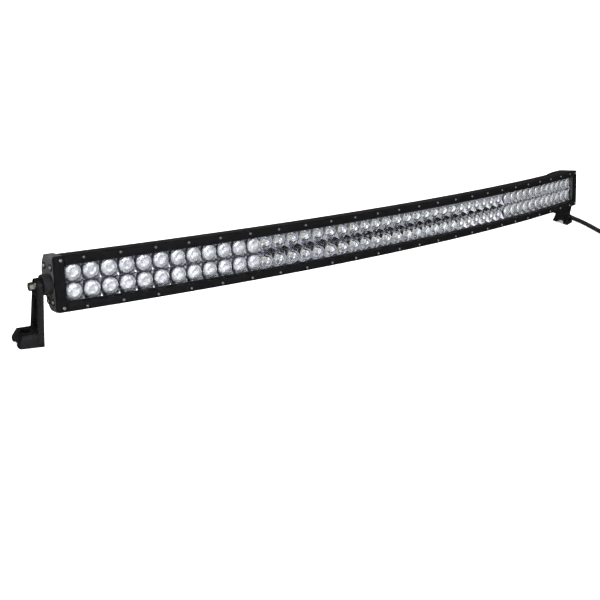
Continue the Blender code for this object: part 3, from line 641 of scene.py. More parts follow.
def studio_floor(name, colour):
    """Pale matt floor that brightens away from the object."""
    look, tree, shader = new_finish(name, colour, 0.9, 0.0, 0.1)
    shader.inputs["Emission Color"].default_value = (1.0, 1.0, 1.0, 1.0)
    where = tree.nodes.new("ShaderNodeTexCoord")
    distance = tree.nodes.new("ShaderNodeVectorMath")
    distance.operation = "LENGTH"
    glow = tree.nodes.new("ShaderNodeMapRange")
    glow.inputs["From Min"].default_value = 0.9
    glow.inputs["From Max"].default_value = 4.0
    glow.inputs["To Min"].default_value = 0.16
    glow.inputs["To Max"].default_value = 1.0
    tree.links.new(where.outputs["Object"], distance.inputs[0])
    tree.links.new(distance.outputs["Value"], glow.inputs["Value"])
    tree.links.new(glow.outputs["Result"], shader.inputs["Emission Strength"])
    broad = grain(tree, 0.8, 2.0)
    spread_colour(tree, shader, broad, toned(colour, 0.99), toned(colour, 1.01))
    return look


def finish(name):
    """Finish of a kind of piece, made when it is first asked for."""
    made = bpy.data.materials.get(name)
    if made:
        return made
    tone = colours()
    makers = {
        "satin_black_frame": lambda: powder_coat(name, tone.bezel, 0.45, 0.12),
        "black_anodised": lambda: anodised(name, tone.housing),
        # The caps' coat is lighter than the bracket's coat as painted light, for the light that falls on
        # the caps.
        "cap_coat_painted_light": lambda: cast_coat(name, tone.cap, 0.36, 0.6, 0.3),
        "coated_cover": lambda: cast_coat(name, tone.bracket, 0.42, 0.2, 0.0),
        "coated_bracket": lambda: cast_coat(name, tone.bracket, 0.28, 0.25, 0.0),
        "bright_reflector": lambda: metallised(name, tone.reflector),
        "zinc_plate": lambda: plated(name, tone.zinc, 0.3),
        "stainless": lambda: plated(name, tone.steel, 0.32),
        "black_rubber": lambda: moulded(name, tone.rubber, 0.6, 900.0),
        "black_nylon": lambda: moulded(name, tone.nylon, 0.45, 1200.0),
        "clear_cover": lambda: clear_cover(name),
        "moulded_optic": lambda: moulded_optic(name, tone.optic),
        "board_white": lambda: solder_mask(name),
        "phosphor": lambda: phosphor(name),
        "studio_floor": lambda: studio_floor(name, tone.floor),
    }
    return makers[name]()


def rear_depth(z):
    """Depth of the housing's rear outline at a height."""
    outline = (
        (35.5, 35.5),
        (42.0, 28.0),
        (45.5, 20.0),
        (47.0, 12.0),
        (47.0, -4.0),
        (43.2, -12.0),
        (37.0, -20.0),
        (34.0, -26.0),
        (29.0, -32.0),
    )
    height = z / MM
    for (d0, z0), (d1, z1) in zip(outline, outline[1:]):
        if z1 <= height <= z0:
            return (d0 + (d1 - d0) * (z0 - height) / (z0 - z1)) * MM
    raise ValueError("height is outside the rear outline")


class LIGHTBAR_OT_stage(bpy.types.Operator):
    """Pale floor, soft studio light and the camera of the photograph"""

    bl_idname = "lightbar.stage"
    bl_label = "Stage"

    def execute(self, context):
        scene = context.scene
        shape = bmesh.new()
        lathe_into(shape, self.sweep_profile(), 64, Matrix.Identity(4))
        mesh = mesh_from("floor", shape)
        mesh.materials.append(finish("studio_floor"))
        floor = bpy.data.objects.new("floor", mesh)
        scene.collection.objects.link(floor)
        floor.visible_glossy = False

        world = bpy.data.worlds.new("studio")
        world.use_nodes = True
        tree = world.node_tree
        where = tree.nodes.new("ShaderNodeTexCoord")
        facing = tree.nodes.new("ShaderNodeVectorMath")
        facing.operation = "DOT_PRODUCT"
        facing.inputs[1].default_value = KEY_DIRECTION
        ramp = tree.nodes.new("ShaderNodeValToRGB")
        tree.links.new(where.outputs["Generated"], facing.inputs[0])
        tree.links.new(facing.outputs["Value"], ramp.inputs["Fac"])
        turn = tree.nodes.new("ShaderNodeMapping")
        turn.inputs["Rotation"].default_value = (0.0, 0.0, 0.6)
        boxes = tree.nodes.new("ShaderNodeTexVoronoi")
        boxes.inputs["Scale"].default_value = SOFT_BOX_SCALE
        edge = tree.nodes.new("ShaderNodeMapRange")
        edge.inputs["From Min"].default_value = SOFT_BOX_EDGE[0]
        edge.inputs["From Max"].default_value = SOFT_BOX_EDGE[1]
        edge.inputs["To Min"].default_value = SOFT_BOX_GAIN[0]
        edge.inputs["To Max"].default_value = SOFT_BOX_GAIN[1]
        tree.links.new(where.outputs["Generated"], turn.inputs["Vector"])
        tree.links.new(turn.outputs["Vector"], boxes.inputs["Vector"])
        tree.links.new(boxes.outputs["Distance"], edge.inputs["Value"])
        back = tree.nodes["Background"]
        tree.links.new(ramp.outputs["Color"], back.inputs["Color"])
        tree.links.new(edge.outputs["Result"], back.inputs["Strength"])
        stops = ramp.color_ramp.elements
        stops[0].position = 0.0
        stops[0].color = (0.06, 0.056, 0.047, 1.0)
        stops[1].position = 0.85
        stops[1].color = (0.82, 0.85, 0.88, 1.0)
        middle = stops.new(0.5)
        middle.color = (0.26, 0.26, 0.26, 1.0)
        scene.world = world

        overhead = self.panel_light("overhead", (1.0, 0.9, 3.5), (1.0, 0.9, 0.0), 7.0, 460.0, WHITE)
        overhead.visible_glossy = False
        self.panel_light("left", (-2.6, 0.4, 0.8), (-0.5, 0.0, 0.1), 1.0, 14.0, WHITE)
        self.panel_light("front", (-0.4, -2.6, 1.5), (0.0, 0.0, 0.1), 0.9, 6.0, (0.9, 0.94, 1.0))
        self.panel_light("right", (2.9, -0.7, 1.2), (0.4, 0.0, 0.1), 0.9, 3.0, (1.0, 0.86, 0.68))

        lens = bpy.data.cameras.new("camera")
        lens.sensor_width = 36.0
        lens.lens = CAMERA_LENS
        lens.clip_end = 50.0
        camera = bpy.data.objects.new("camera", lens)
        scene.collection.objects.link(camera)
        camera.matrix_world = Matrix(CAMERA_ROWS)
        scene.camera = camera
        scene.view_settings.view_transform = "Standard"
        return {"FINISHED"}

    @staticmethod
    def sweep_profile():
        """Flat floor that sweeps up into a wall all round."""
        profile = [(0.0, 0.0), (1.0, 0.0), (3.0, 0.0)]
        for k in range(9):
            angle = math.pi / 2 * k / 8
            out, up = math.sin(angle), 1.0 - math.cos(angle)
            profile.append((FLOOR_FLAT + FLOOR_BEND * out, FLOOR_BEND * up))
        profile.append((FLOOR_FLAT + FLOOR_BEND, FLOOR_WALL))
        return profile

    @staticmethod
    def panel_light(name, place, aim, size, power, colour):
        """A square soft box."""
        lamp = bpy.data.lights.new(name, "AREA")
        lamp.size = size
        lamp.energy = power
        lamp.color = colour
        soft_box = bpy.data.objects.new(name, lamp)
        bpy.context.scene.collection.objects.link(soft_box)
        soft_box.location = place
        away = Vector(aim) - Vector(place)
        soft_box.rotation_euler = away.to_track_quat("-Z", "Y").to_euler()
        return soft_box


def smooth_path(points, count):
    """Evenly spread points of a Catmull-Rom curve through the given ones."""
    padded = [points[0] * 2 - points[1], *points, points[-1] * 2 - points[-2]]
    fine = []
    steps = 20
    for a, b, c, d in zip(padded, padded[1:], padded[2:], padded[3:]):
        square = 2 * a - 5 * b + 4 * c - d
        cube = 3 * b - a - 3 * c + d
        for i in range(steps):
            t = i / steps
            fine.append((2 * b + (c - a) * t + square * t**2 + cube * t**3) / 2)
    fine.append(points[-1])
    lengths = [0.0]
    for near, far in zip(fine, fine[1:]):
        lengths.append(lengths[-1] + (far - near).length)
    spread = []
    index = 0
    for k in range(count):
        target = lengths[-1] * k / (count - 1)
        while index < len(fine) - 2 and lengths[index + 1] < target:
            index += 1
        share = (target - lengths[index]) / (lengths[index + 1] - lengths[index])
        spread.append(fine[index].lerp(fine[index + 1], share))
    return spread, lengths[-1]


def gland_frame():
    """Frame on the rear of the wiring cover at the gland, with +Z pointing backwards."""
    return arc_frame(GLAND_S, REAR_DEPTH, GLAND_Z) @ FACING_BACK


def connector_frame():
    """Frame of the connector, with +Z pointing away from the lead."""
    ahead = (CONNECTOR_AT - Vector(CABLE_ROUTE[-1])).normalized()
    turn = ahead.to_track_quat("Z", "Y").to_matrix().to_4x4()
    return Matrix.Translation(CONNECTOR_AT) @ turn, ahead


class LIGHTBAR_OT_lead(bpy.types.Operator):
    """Round rubber lead from the gland to the connector"""

    bl_idname = "lightbar.lead"
    bl_label = "Lead"

    def execute(self, context):
        gland = gland_frame()
        boot_end = BOOT_LOW + BOOT_LENGTH
        start = gland @ Vector((0.0, 0.0, boot_end + GAP))
        lead_in = gland @ Vector((0.0, 0.0, boot_end + CABLE_LEAD_IN))
        _, ahead = connector_frame()
        stop = CONNECTOR_AT - ahead * GAP
        points, length = smooth_path([start, lead_in, *map(Vector, CABLE_ROUTE), stop], 160)
        curve = bpy.data.curves.new("lead", "CURVE")
        curve.dimensions = "3D"
        curve.bevel_depth = sizes().cable_diameter / 2
        curve.bevel_resolution = 5
        curve.use_fill_caps = True
        spline = curve.splines.new("POLY")
        spline.points.add(len(points) - 1)
        for slot, point in zip(spline.points, points):
            slot.co = (*point, 1.0)
        spline.use_smooth = True
        lead = add_piece("lead", curve, [finish("black_rubber")], "lamp", ["power_cable"])
        return {"FINISHED"}


class LIGHTBAR_OT_gland(bpy.types.Operator):
    """Cable gland with its ribbed nut, tapered strain relief and the breather vent"""

    bl_idname = "lightbar.gland"
    bl_label = "Gland and vent"

    def execute(self, context):
        nylon = finish("black_nylon")
        rubber = finish("black_rubber")
        gland = gland_frame()
        body = softened_copy("gland_body", 0.4 * MM)
        add_piece("gland_hexagon", body, [nylon], "lamp", ["gland_body"])

        shape = bmesh.new()
        flutes = 36
        levels = []
        grip = 5.0 * MM
        steps = ((0.97, 0.0), (1.0, 0.5 * MM), (1.0, grip), (0.9, 7.4 * MM), (0.76, 9.0 * MM))
        for share, height in steps:
            outline = []
            for i, (x, y) in enumerate(circle(NUT_RADIUS * share, flutes)):
                dip = 0.94 if i % 3 == 0 and height <= grip else 1.0
                outline.append((x * dip, y * dip))
            levels.append((outline, NUT_LOW + height))
        prism_into(shape, levels, gland)
        mesh = mesh_from("gland_clamp_nut", shape)
        add_piece("gland_clamp_nut", mesh, [nylon], "lamp", ["gland_nut"])

        shape = bmesh.new()
        profile = [(0.0, BOOT_LOW), (BOOT_RADIUS, BOOT_LOW)]
        ribs = 5
        for k in range(ribs):
            low = BOOT_LOW + BOOT_LENGTH * (k + 0.15) / ribs
            high = BOOT_LOW + BOOT_LENGTH * (k + 0.7) / ribs
            radius = BOOT_RADIUS + (BOOT_TIP_RADIUS - BOOT_RADIUS) * (k + 0.5) / ribs
            groove = radius - 0.9 * MM
            profile += [(radius, low), (radius, high), (groove, high + 0.2 * MM)]
            profile.append((groove, BOOT_LOW + BOOT_LENGTH * (k + 1) / ribs))
        profile.append((0.0, BOOT_LOW + BOOT_LENGTH))
        lathe_into(shape, profile, 24, gland)
        mesh = mesh_from("ribbed_boot", shape, 30.0)
        add_piece("ribbed_boot", mesh, [rubber], "lamp", ["strain_relief"])

        shape = bmesh.new()
        vent = arc_frame(VENT_S, REAR_DEPTH, GLAND_Z) @ FACING_BACK
        profile = [(0.0, -2.8 * MM), (2.8 * MM, -2.8 * MM), (2.8 * MM, GAP), (5.7 * MM, GAP)]
        profile += [(6.0 * MM, 0.7 * MM), (6.0 * MM, 3.2 * MM), (5.2 * MM, 4.1 * MM), (3.6 * MM, 4.2 * MM)]
        profile += [(3.4 * MM, 3.5 * MM), (1.6 * MM, 3.5 * MM), (1.4 * MM, 4.0 * MM), (0.0, 4.1 * MM)]
        lathe_into(shape, profile, 28, vent)
        mesh = mesh_from("vent_plug", shape, 30.0)
        add_piece("vent_plug", mesh, [nylon], "lamp", ["breather_vent"])
        return {"FINISHED"}


class LIGHTBAR_OT_connector(bpy.types.Operator):
    """Sealed two-pin connector at the end of the lead"""

    bl_idname = "lightbar.connector"
    bl_label = "Connector"

    def execute(self, context):
        nylon = finish("black_nylon")
        dress_node("connector", nylon)
        dress_node("connector_seal", finish("black_rubber"))
        place, _ = connector_frame()
        shape = bmesh.new()
        wide = CONNECTOR_HALF_WIDTH + 0.6 * MM
        tall = CONNECTOR_HALF_HEIGHT * 0.62
        for side in (-1, 1):
            for k in range(4):
                low = 10.0 * MM + k * 2.2 * MM
                edge = sorted((side * (CONNECTOR_HALF_WIDTH - 0.4 * MM), side * wide))
                outline = [(edge[0], -tall), (edge[1], -tall), (edge[1], tall), (edge[0], tall)]
                prism_into(shape, [(outline, low), (outline, low + 1.1 * MM)], place)
        mesh = mesh_from("connector_grips", shape, 0.0)
        add_piece("connector_grips", mesh, [nylon], "lamp", ())

        shape = bmesh.new()
        for side in (-1, 1):
            pin = place @ Matrix.Translation((side * 2.6 * MM, 0.0, 0.0))
            low = CONNECTOR_LENGTH - 15.8 * MM
            high = CONNECTOR_LENGTH - 3.0 * MM
            radius = 1.0 * MM
            profile = [(0.0, low), (radius, low), (radius, high - radius)]
            profile += [(radius / 2, high), (0.0, high)]
            lathe_into(shape, profile, 16, pin)
        mesh = mesh_from("connector_pins", shape)
        add_piece("connector_pins", mesh, [finish("zinc_plate")], "lamp", ())
        return {"FINISHED"}


class LIGHTBAR_OT_reflectors(bpy.types.Operator):
    """Faceted reflector cups, one moulding for each straight module"""

    bl_idname = "lightbar.reflectors"
    bl_label = "Reflectors"

    def execute(self, context):
        mesh = self.module_mesh()
        looks = [finish("bright_reflector")]
        for index in range(MODULES):
            s = (index - (MODULES - 1) / 2) * CELL_PITCH * COLUMNS_PER_MODULE
            add_piece(
                f"cup_module_{index + 1}",
                mesh,
                looks,
                "lamp",
                [f"reflector_{index + 1}"],
                arc_frame(s, 0.0, 0.0),
            )
        return {"FINISHED"}

    def module_mesh(self):
        """One block of cups with a skirt round its edge."""
        shape = bmesh.new()
        pitch = CELL_PITCH * (1.0 - REFLECTOR_BACK / FRONT_RADIUS) * MODULE_FILL
        columns = [(i - (COLUMNS_PER_MODULE - 1) / 2) * pitch for i in range(COLUMNS_PER_MODULE)]
        half_x, half_z = pitch / 2, CELL_PITCH / 2
        for x in columns:
            for z in (-half_z, half_z):
                self.cup(shape, x, z, half_x, half_z)
        bmesh.ops.remove_doubles(shape, verts=shape.verts, dist=0.002 * MM)
        edge_x, edge_z = COLUMNS_PER_MODULE * half_x, 2 * half_z
        near = 0.01 * MM
        rim = []
        for edge in shape.edges:
            ends = [vert.co for vert in edge.verts]
            on_side = all(abs(abs(co.x) - edge_x) < near for co in ends)
            on_long = all(abs(abs(co.z) - edge_z) < near for co in ends)
            if edge.is_boundary and (on_side or on_long):
                rim.append(edge)
        skirt = bmesh.ops.extrude_edge_only(shape, edges=rim)["geom"]
        for vert in skirt:
            if isinstance(vert, bmesh.types.BMVert):
                vert.co.y = REFLECTOR_BACK
        mesh = bpy.data.meshes.new("cup_module")
        bmesh.ops.remove_doubles(shape, verts=shape.verts, dist=0.002 * MM)
        bmesh.ops.recalc_face_normals(shape, faces=shape.faces)
        shape.to_mesh(mesh)
        shape.free()
        return mesh

    def cup(self, shape, x, z, half_x, half_z):
        """One cell: twisted rings of facets, then facets that run up into the square corners."""
        sides, rings = sizes().cup_sides, sizes().cup_rings
        mouth = sizes().cup_radius
        loops = []
        for k in range(rings + 1):
            radius = mouth + (CUP_FLOOR_RADIUS - mouth) * k / rings
            points = circle(radius, sides, k % 2 * math.pi / sides)
            loops.append([self.place(shape, x, z, *point) for point in points])
        for i in range(sides):
            j = (i + 1) % sides
            for k in range(rings):
                near, far = loops[k], loops[k + 1]
                if k % 2 == 0:
                    shape.faces.new((near[i], near[j], far[i]))
                    shape.faces.new((near[j], far[j], far[i]))
                else:
                    shape.faces.new((near[i], far[j], far[i]))
                    shape.faces.new((near[i], near[j], far[j]))
        border = []
        for a, b in circle(1.0, sides):
            reach = min(half_x / max(abs(a), 1e-6), half_z / max(abs(b), 1e-6))
            border.append(self.place(shape, x, z, a * reach, b * reach))
        for i in range(sides):
            j = (i + 1) % sides
            shape.faces.new((border[i], border[j], loops[0][j]))
            shape.faces.new((border[i], loops[0][j], loops[0][i]))

    @staticmethod
    def place(shape, x, z, a, b):
        """A point of a cup on its bowl, which reaches the front at the corners of the cell."""
        corner = CELL_PITCH**2 / 2
        share = (a * a + b * b - CUP_FLOOR_RADIUS**2) / (corner - CUP_FLOOR_RADIUS**2)
        return shape.verts.new((x + a, REFLECTOR_BACK - share * (REFLECTOR_BACK - REFLECTOR_FRONT), z + b))


class LIGHTBAR_OT_emitters(bpy.types.Operator):
    """Circuit boards with a domed emitter behind every cup"""

    bl_idname = "lightbar.emitters"
    bl_label = "Emitters"

    def execute(self, context):
        looks = [finish("board_white"), finish("phosphor")]
        mesh = self.board_mesh()
        for index in range(MODULES):
            s = (index - (MODULES - 1) / 2) * CELL_PITCH * COLUMNS_PER_MODULE
            add_piece(
                f"emitter_board_{index + 1}",
                mesh,
                looks,
                "lamp",
                [f"led_board_{index + 1}"],
                arc_frame(s, 0.0, 0.0),
            )
        return {"FINISHED"}

    def board_mesh(self):
        """Board, square packages and round domes."""
        shape = bmesh.new()
        pitch = CELL_PITCH * (1.0 - REFLECTOR_BACK / FRONT_RADIUS)
        half_x = COLUMNS_PER_MODULE * pitch / 2 - BOARD_INSET
        half_z = CELL_PITCH
        board = [(-half_x, -half_z), (half_x, -half_z), (half_x, half_z), (-half_x, half_z)]
        prism_into(shape, [(board, -BOARD_BACK), (board, -BOARD_FRONT)], FACING_FRONT)
        columns = [(i - (COLUMNS_PER_MODULE - 1) / 2) * pitch for i in range(COLUMNS_PER_MODULE)]
        top = -BOARD_FRONT + CHIP_HEIGHT
        package = circle(CHIP_HALF * math.sqrt(2), 4, math.pi / 4)
        centres = [(x, z) for x in columns for z in (-CELL_PITCH / 2, CELL_PITCH / 2)]
        for x, z in centres:
            place = FACING_FRONT @ Matrix.Translation((x, z, 0.0))
            prism_into(shape, [(package, -BOARD_FRONT), (package, top)], place)
        white = len(shape.faces)
        dome = 2.2 * MM
        profile = [(0.0, top), (dome, top)]
        profile += [
            (dome * math.cos(a), top + dome * 0.85 * math.sin(a))
            for a in (math.pi / 2 * k / 5 for k in range(1, 5))
        ]
        profile.append((0.0, top + dome * 0.85))
        for x, z in centres:
            lathe_into(shape, profile, 14, FACING_FRONT @ Matrix.Translation((x, z, 0.0)))
        shape.faces.ensure_lookup_table()
        for face in shape.faces[white:]:
            face.material_index = 1
        return mesh_from("emitter_board", shape, 50.0)


class LIGHTBAR_OT_collimators(bpy.types.Operator):
    """Faceted collimators in the cups of the outer modules, which spread the light"""

    bl_idname = "lightbar.collimators"
    bl_label = "Collimators"

    def execute(self, context):
        mesh = self.module_mesh()
        for index in FLOOD_MODULES:
            s = (index - (MODULES + 1) / 2) * CELL_PITCH * COLUMNS_PER_MODULE
            place = arc_frame(s, 0.0, 0.0)
            add_piece(f"collimators_{index}", mesh, [finish("moulded_optic")], "lamp", (), place)
        return {"FINISHED"}

    def module_mesh(self):
        """One optic for every cup of a module."""
        shape = bmesh.new()
        pitch = CELL_PITCH * (1.0 - REFLECTOR_BACK / FRONT_RADIUS) * MODULE_FILL
        for column in range(COLUMNS_PER_MODULE):
            for z in (-CELL_PITCH / 2, CELL_PITCH / 2):
                x = (column - (COLUMNS_PER_MODULE - 1) / 2) * pitch
                self.optic(shape, FACING_FRONT @ Matrix.Translation((x, z, -REFLECTOR_FRONT)))
        return mesh_from("collimators", shape, 0.0)

    @staticmethod
    def optic(shape, place):
        """Flanged body with a faceted crown."""
        facets = 12
        radius = sizes().optic_radius
        levels = ((0.5, -11.0), (1.0, -3.4), (1.0, -1.4), (0.84, -0.2), (0.56, 0.6), (0.26, 0.9))
        rings = []
        for k, (share, height) in enumerate(levels):
            outline = circle(radius * share, facets, k % 2 * math.pi / facets)
            rings.append([shape.verts.new(place @ Vector((x, y, height * MM))) for x, y in outline])
        for k, (near, far) in enumerate(zip(rings, rings[1:])):
            for i in range(facets):
                j = (i + 1) % facets
                if k % 2 == 0:
                    shape.faces.new((near[i], near[j], far[i]))
                    shape.faces.new((near[j], far[j], far[i]))
                else:
                    shape.faces.new((near[i], far[j], far[i]))
                    shape.faces.new((near[i], near[j], far[j]))
        shape.faces.new(rings[-1])
        shape.faces.new(rings[0][::-1])


class LIGHTBAR_OT_cover(bpy.types.Operator):
    """Clear cover sheet and its seals"""

    bl_idname = "lightbar.cover"
    bl_label = "Cover lens"

    def execute(self, context):
        front, back = LENS_FRONT, LENS_FRONT + LENS_THICKNESS
        half = LENS_HALF_HEIGHT
        edge = 0.4 * MM
        corners = [(front, half, edge), (back, half, edge), (back, -half, edge), (front, -half, edge)]
        stations = arc_stations(-HOUSING_END + GAP, HOUSING_END - GAP)
        mesh = sweep("clear_sheet", rounded(corners, 2), stations)
        add_piece("clear_sheet", mesh, [finish("clear_cover")], "lamp", ["cover_lens"])
        for node in ("top_lens_seal", "bottom_lens_seal", "left_end_seal", "right_end_seal"):
            dress_node(node, finish("black_rubber"))
        return {"FINISHED"}


class LIGHTBAR_OT_bezel(bpy.types.Operator):
    """Front frame: two long strips with a lip round the window and two end plates"""

    bl_idname = "lightbar.bezel"
    bl_label = "Front frame"

    def execute(self, context):
        look = finish("satin_black_frame")
        for side, name in ((1, "top"), (-1, "bottom")):
            outer, window = side * HALF_HEIGHT, side * WINDOW_HALF_HEIGHT
            inner = window + side * LIP_THICKNESS
            corners = [
                (0.0, outer, 1.2 * MM),
                (0.0, window, 0.9 * MM),
                (LIP_DEPTH, window, 0.3 * MM),
                (LIP_DEPTH, inner, 0.0),
                (BEZEL_THICKNESS, inner, 0.0),
                (BEZEL_THICKNESS, outer, 0.3 * MM),
            ]
            end = WINDOW_HALF_LENGTH - 2 * GAP
            mesh = sweep(f"{name}_strip", rounded(corners), arc_stations(-end, end), 40.0)
            add_piece(f"{name}_strip", mesh, [look], "lamp", [f"{name}_bezel"])
        for side, name in SIDES:
            mesh = softened_copy(f"{name}_bezel_end", 0.5 * MM)
            add_piece(f"{name}_frame_end", mesh, [look], "lamp", [f"{name}_bezel_end"])
        return {"FINISHED"}


def screw_head_into(shape, place, radius, height, sink=0.0):
    """Domed head with a hexagon socket."""
    socket = radius * 0.46
    sides = 18
    profile = [(radius * 0.96, -sink), (radius, height * 0.25), (radius * 0.86, height * 0.7)]
    profile += [(radius * 0.62, height * 0.95), (socket * 1.12, height)]
    rings = [[place @ Vector((x, y, h)) for x, y in circle(r, sides)] for r, h in profile]
    hexagon = []
    for i in range(sides):
        a = 2 * math.pi * i / sides
        flat = math.cos(math.pi / 6) / math.cos(a % (math.pi / 3) - math.pi / 6)
        hexagon.append((socket * flat * math.cos(a), socket * flat * math.sin(a)))
    rings.append([place @ Vector((x, y, height * 0.9)) for x, y in hexagon])
    rings.append([place @ Vector((x, y, height * 0.25)) for x, y in hexagon])
    skin_rings(shape, rings)


class LIGHTBAR_OT_bezel_screws(bpy.types.Operator):
    """Rows of small screws along the front frame and one in each corner"""

    bl_idname = "lightbar.bezel_screws"
    bl_label = "Bezel screws"

    def execute(self, context):
        shape = bmesh.new()
        pitch = sizes().screw_pitch
        radius = sizes().screw_radius
        count = int(2 * WINDOW_HALF_LENGTH / pitch)
        for k in range(count):
            s = (k - (count - 1) / 2) * pitch
            for z in (-SCREW_ROW_HEIGHT, SCREW_ROW_HEIGHT):
                screw_head_into(shape, arc_frame(s, 0.0, z) @ FACING_FRONT, radius, 1.5 * MM)
        for s in (-CORNER_SCREW_S, CORNER_SCREW_S):
            for z in (-CORNER_SCREW_Z, CORNER_SCREW_Z):
                place = arc_frame(s, 0.0, z) @ FACING_FRONT
                screw_head_into(shape, place, radius * 1.3, 2.0 * MM)
        mesh = mesh_from("bezel_screws", shape)
        add_piece("bezel_screws", mesh, [finish("stainless")], "lamp", ())
        return {"FINISHED"}


class LIGHTBAR_OT_housing(bpy.types.Operator):
    """Extruded housing with lengthwise cooling fins"""

    bl_idname = "lightbar.housing"
    bl_label = "Housing"

    def execute(self, context):
        finned = self.outline(True)
        plain = self.outline(False)
        shape = bmesh.new()
        cut = COVER_START - GAP
        rings = [[arc_point(s, d, z) for d, z in finned] for s in arc_stations(-HOUSING_END, cut)]
        rings += [[arc_point(s, d, z) for d, z in plain] for s in arc_stations(cut, HOUSING_END)]
        skin_rings(shape, rings)
        mesh = mesh_from("finned_body", shape, 40.0)
        add_piece("finned_body", mesh, [finish("black_anodised")], "lamp", ["housing"])
        return {"FINISHED"}

    @staticmethod
    def outline(finned):
        """Section of the extrusion, with its fins or with a bare back."""
        points = [(WALL_FRONT, HALF_HEIGHT), (SHOULDER_DEPTH, HALF_HEIGHT)]
        half = FIN_THICKNESS / 2
        for index in range(FINS_ABOVE, -FINS_BELOW - 1, -1):
            z = index * FIN_PITCH
            top = index == FINS_ABOVE
            root = SHOULDER_DEPTH if top else FIN_ROOT
            tip = rear_depth(z) - FIN_INSET
            if not finned:
                tip = FIN_ROOT
            crown = tip - half * 0.8 if finned else tip
            points += [(root, z + half), (crown, z + half), (tip, z + half * 0.4)]
            points += [(tip, z - half * 0.4), (crown, z - half), (FIN_ROOT, z - half)]
        points += [
            (FIN_ROOT, FLOOR_LOW),
            (BELLY_DEPTH, -HALF_HEIGHT),
            (WALL_FRONT, -HALF_HEIGHT),
            (WALL_FRONT, -SEAT_HALF_HEIGHT),
            (SEAT_DEPTH, -SEAT_HALF_HEIGHT),
            (SEAT_DEPTH, -CHANNEL_HALF_HEIGHT),
            (CHANNEL_BACK, -CHANNEL_HALF_HEIGHT),
            (CHANNEL_BACK, CHANNEL_HALF_HEIGHT),
            (SEAT_DEPTH, CHANNEL_HALF_HEIGHT),
            (SEAT_DEPTH, SEAT_HALF_HEIGHT),
            (WALL_FRONT, SEAT_HALF_HEIGHT),
        ]
        return points


class LIGHTBAR_OT_end_caps(bpy.types.Operator):
    """Cast end caps and wiring cover with their screws"""

    bl_idname = "lightbar.end_caps"
    bl_label = "End caps"

    def execute(self, context):
        # The caps' finish carries painted light: its coat is lighter than the bracket's to stand in for
        # the light on the caps.
        cast = finish("cap_coat_painted_light")
        screws = bmesh.new()
        rings = bmesh.new()
        for side, name in SIDES:
            mesh = softened_copy(f"{name}_end_cap", sizes().edge_radius)
            add_piece(f"{name}_cap", mesh, [cast], "lamp", [f"{name}_end_cap"])
            for d, z in ((10.5, 21.0), (33.0, 21.0), (10.5, -23.0), (27.0, -23.0)):
                place = end_frame(side, d * MM, z * MM)
                self.screw(screws, rings, place)
        mesh = softened_copy("wiring_cover", sizes().edge_radius)
        add_piece("wiring_box", mesh, [finish("coated_cover")], "lamp", ["wiring_cover"])
        for s, z in ((592.0, 9.0), (592.0, -2.0)):
            place = arc_frame(s * MM, REAR_DEPTH, z * MM) @ FACING_BACK
            self.screw(screws, rings, place)
        mesh = mesh_from("cap_screws", screws)
        add_piece("cap_screws", mesh, [finish("stainless")], "lamp", ())
        mesh = mesh_from("screw_seals", rings)
        add_piece("screw_seals", mesh, [finish("black_rubber")], "lamp", ())
        return {"FINISHED"}

    @staticmethod
    def screw(screws, rings, place):
        """Socket screw on a rubber sealing ring."""
        screw_head_into(screws, place, 3.2 * MM, 2.4 * MM)
        profile = [(3.3 * MM, -0.1 * MM), (4.8 * MM, -0.1 * MM), (4.8 * MM, 0.6 * MM)]
        profile += [(4.4 * MM, 1.0 * MM), (3.3 * MM, 1.0 * MM)]
        lathe_into(rings, profile, 20, place)


class LIGHTBAR_OT_brackets(bpy.types.Operator):
    """Cast tilt brackets"""

    bl_idname = "lightbar.brackets"
    bl_label = "Brackets"

    def execute(self, context):
        for _, name in SIDES:
            node = f"{name}_bracket"
            mesh = softened_copy(node, sizes().edge_radius)
            add_piece(f"{name}_casting", mesh, [finish("coated_bracket")], node, [node])
        return {"FINISHED"}


class LIGHTBAR_OT_tilt_bolts(bpy.types.Operator):
    """Hexagon bolts, washers and rubber spacers of the tilt joints"""

    bl_idname = "lightbar.tilt_bolts"
    bl_label = "Tilt bolts"

    def execute(self, context):
        zinc = finish("zinc_plate")
        for side, name in SIDES:
            shape = bmesh.new()
            place = end_frame(side)
            self.hexagon(shape, place)
            shank = [(0.0, BOLT_END), (BOLT_RADIUS, BOLT_END), (BOLT_RADIUS, HEAD_LOW), (0.0, HEAD_LOW)]
            lathe_into(shape, shank, 20, place)
            mesh = mesh_from(f"{name}_hex_bolt", shape, 25.0)
            add_piece(f"{name}_hex_bolt", mesh, [zinc], "lamp", [f"{name}_pivot_bolt"])
            dress_node(f"{name}_flat_washer", zinc)
            dress_node(f"{name}_spring_washer", zinc)
            dress_node(f"{name}_spacer", finish("black_rubber"))
        return {"FINISHED"}

    @staticmethod
    def hexagon(shape, place):
        """Head with a washer face and a chamfer that rounds off its corners."""
        sides = 36
        flat_radius = HEX_RADIUS * math.cos(math.pi / 6)
        levels = []
        for limit, share in ((0.9, 0.0), (1.0, 0.1), (1.0, 0.86), (0.88, 1.0)):
            outline = []
            for i in range(sides):
                a = 2 * math.pi * i / sides
                reach = flat_radius / math.cos(a % (math.pi / 3) - math.pi / 6)
                reach = min(reach, HEX_RADIUS * limit)
                outline.append((reach * math.cos(a), reach * math.sin(a)))
            levels.append((outline, HEAD_LOW + HEAD_HEIGHT * share))
        prism_into(shape, levels, place)


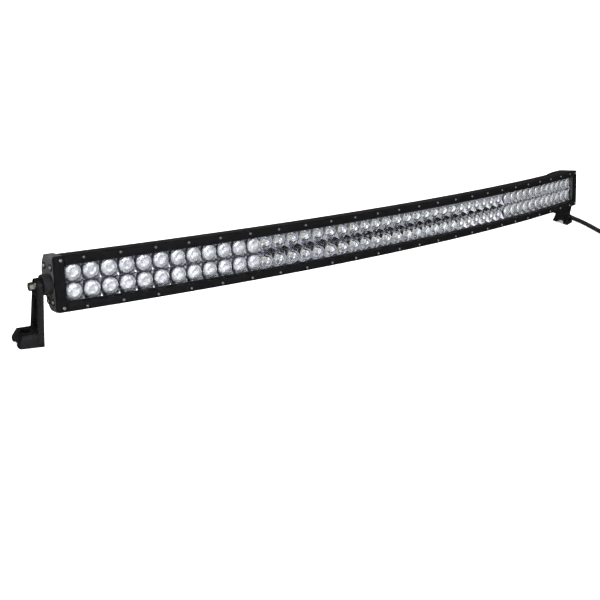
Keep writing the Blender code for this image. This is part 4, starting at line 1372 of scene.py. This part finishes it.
OPERATORS = (
    LIGHTBAR_OT_stage,
    LIGHTBAR_OT_lead,
    LIGHTBAR_OT_gland,
    LIGHTBAR_OT_connector,
    LIGHTBAR_OT_reflectors,
    LIGHTBAR_OT_emitters,
    LIGHTBAR_OT_collimators,
    LIGHTBAR_OT_cover,
    LIGHTBAR_OT_bezel,
    LIGHTBAR_OT_bezel_screws,
    LIGHTBAR_OT_housing,
    LIGHTBAR_OT_end_caps,
    LIGHTBAR_OT_brackets,
    LIGHTBAR_OT_tilt_bolts,
)


class LIGHTBAR_PT_panel(bpy.types.Panel):
    """Sidebar panel that lists the pieces"""

    bl_idname = "LIGHTBAR_PT_panel"
    bl_label = "Light Bar"
    bl_space_type = "VIEW_3D"
    bl_region_type = "UI"
    bl_category = "Light Bar"

    def draw(self, context):
        column = self.layout.column()
        for operator in OPERATORS:
            column.operator(operator.bl_idname)
        for group in (context.scene.light_bar_sizes, context.scene.light_bar_colours):
            for name in group.__annotations__:
                column.prop(group, name)


CLASSES = (LightBarSizes, LightBarColours, *OPERATORS, LIGHTBAR_PT_panel)


def register():
    for item in CLASSES:
        bpy.utils.register_class(item)
    bpy.types.Scene.light_bar_sizes = bpy.props.PointerProperty(type=LightBarSizes)
    bpy.types.Scene.light_bar_colours = bpy.props.PointerProperty(type=LightBarColours)


def unregister():
    del bpy.types.Scene.light_bar_colours
    del bpy.types.Scene.light_bar_sizes
    for item in reversed(CLASSES):
        bpy.utils.unregister_class(item)


def main():
    """Build every piece."""
    register()
    bpy.ops.lightbar.stage()
    bpy.ops.lightbar.lead()
    bpy.ops.lightbar.gland()
    bpy.ops.lightbar.connector()
    bpy.ops.lightbar.reflectors()
    bpy.ops.lightbar.emitters()
    bpy.ops.lightbar.collimators()
    bpy.ops.lightbar.cover()
    bpy.ops.lightbar.bezel()
    bpy.ops.lightbar.bezel_screws()
    bpy.ops.lightbar.housing()
    bpy.ops.lightbar.end_caps()
    bpy.ops.lightbar.brackets()
    bpy.ops.lightbar.tilt_bolts()


if __name__ == "__main__":
    main()
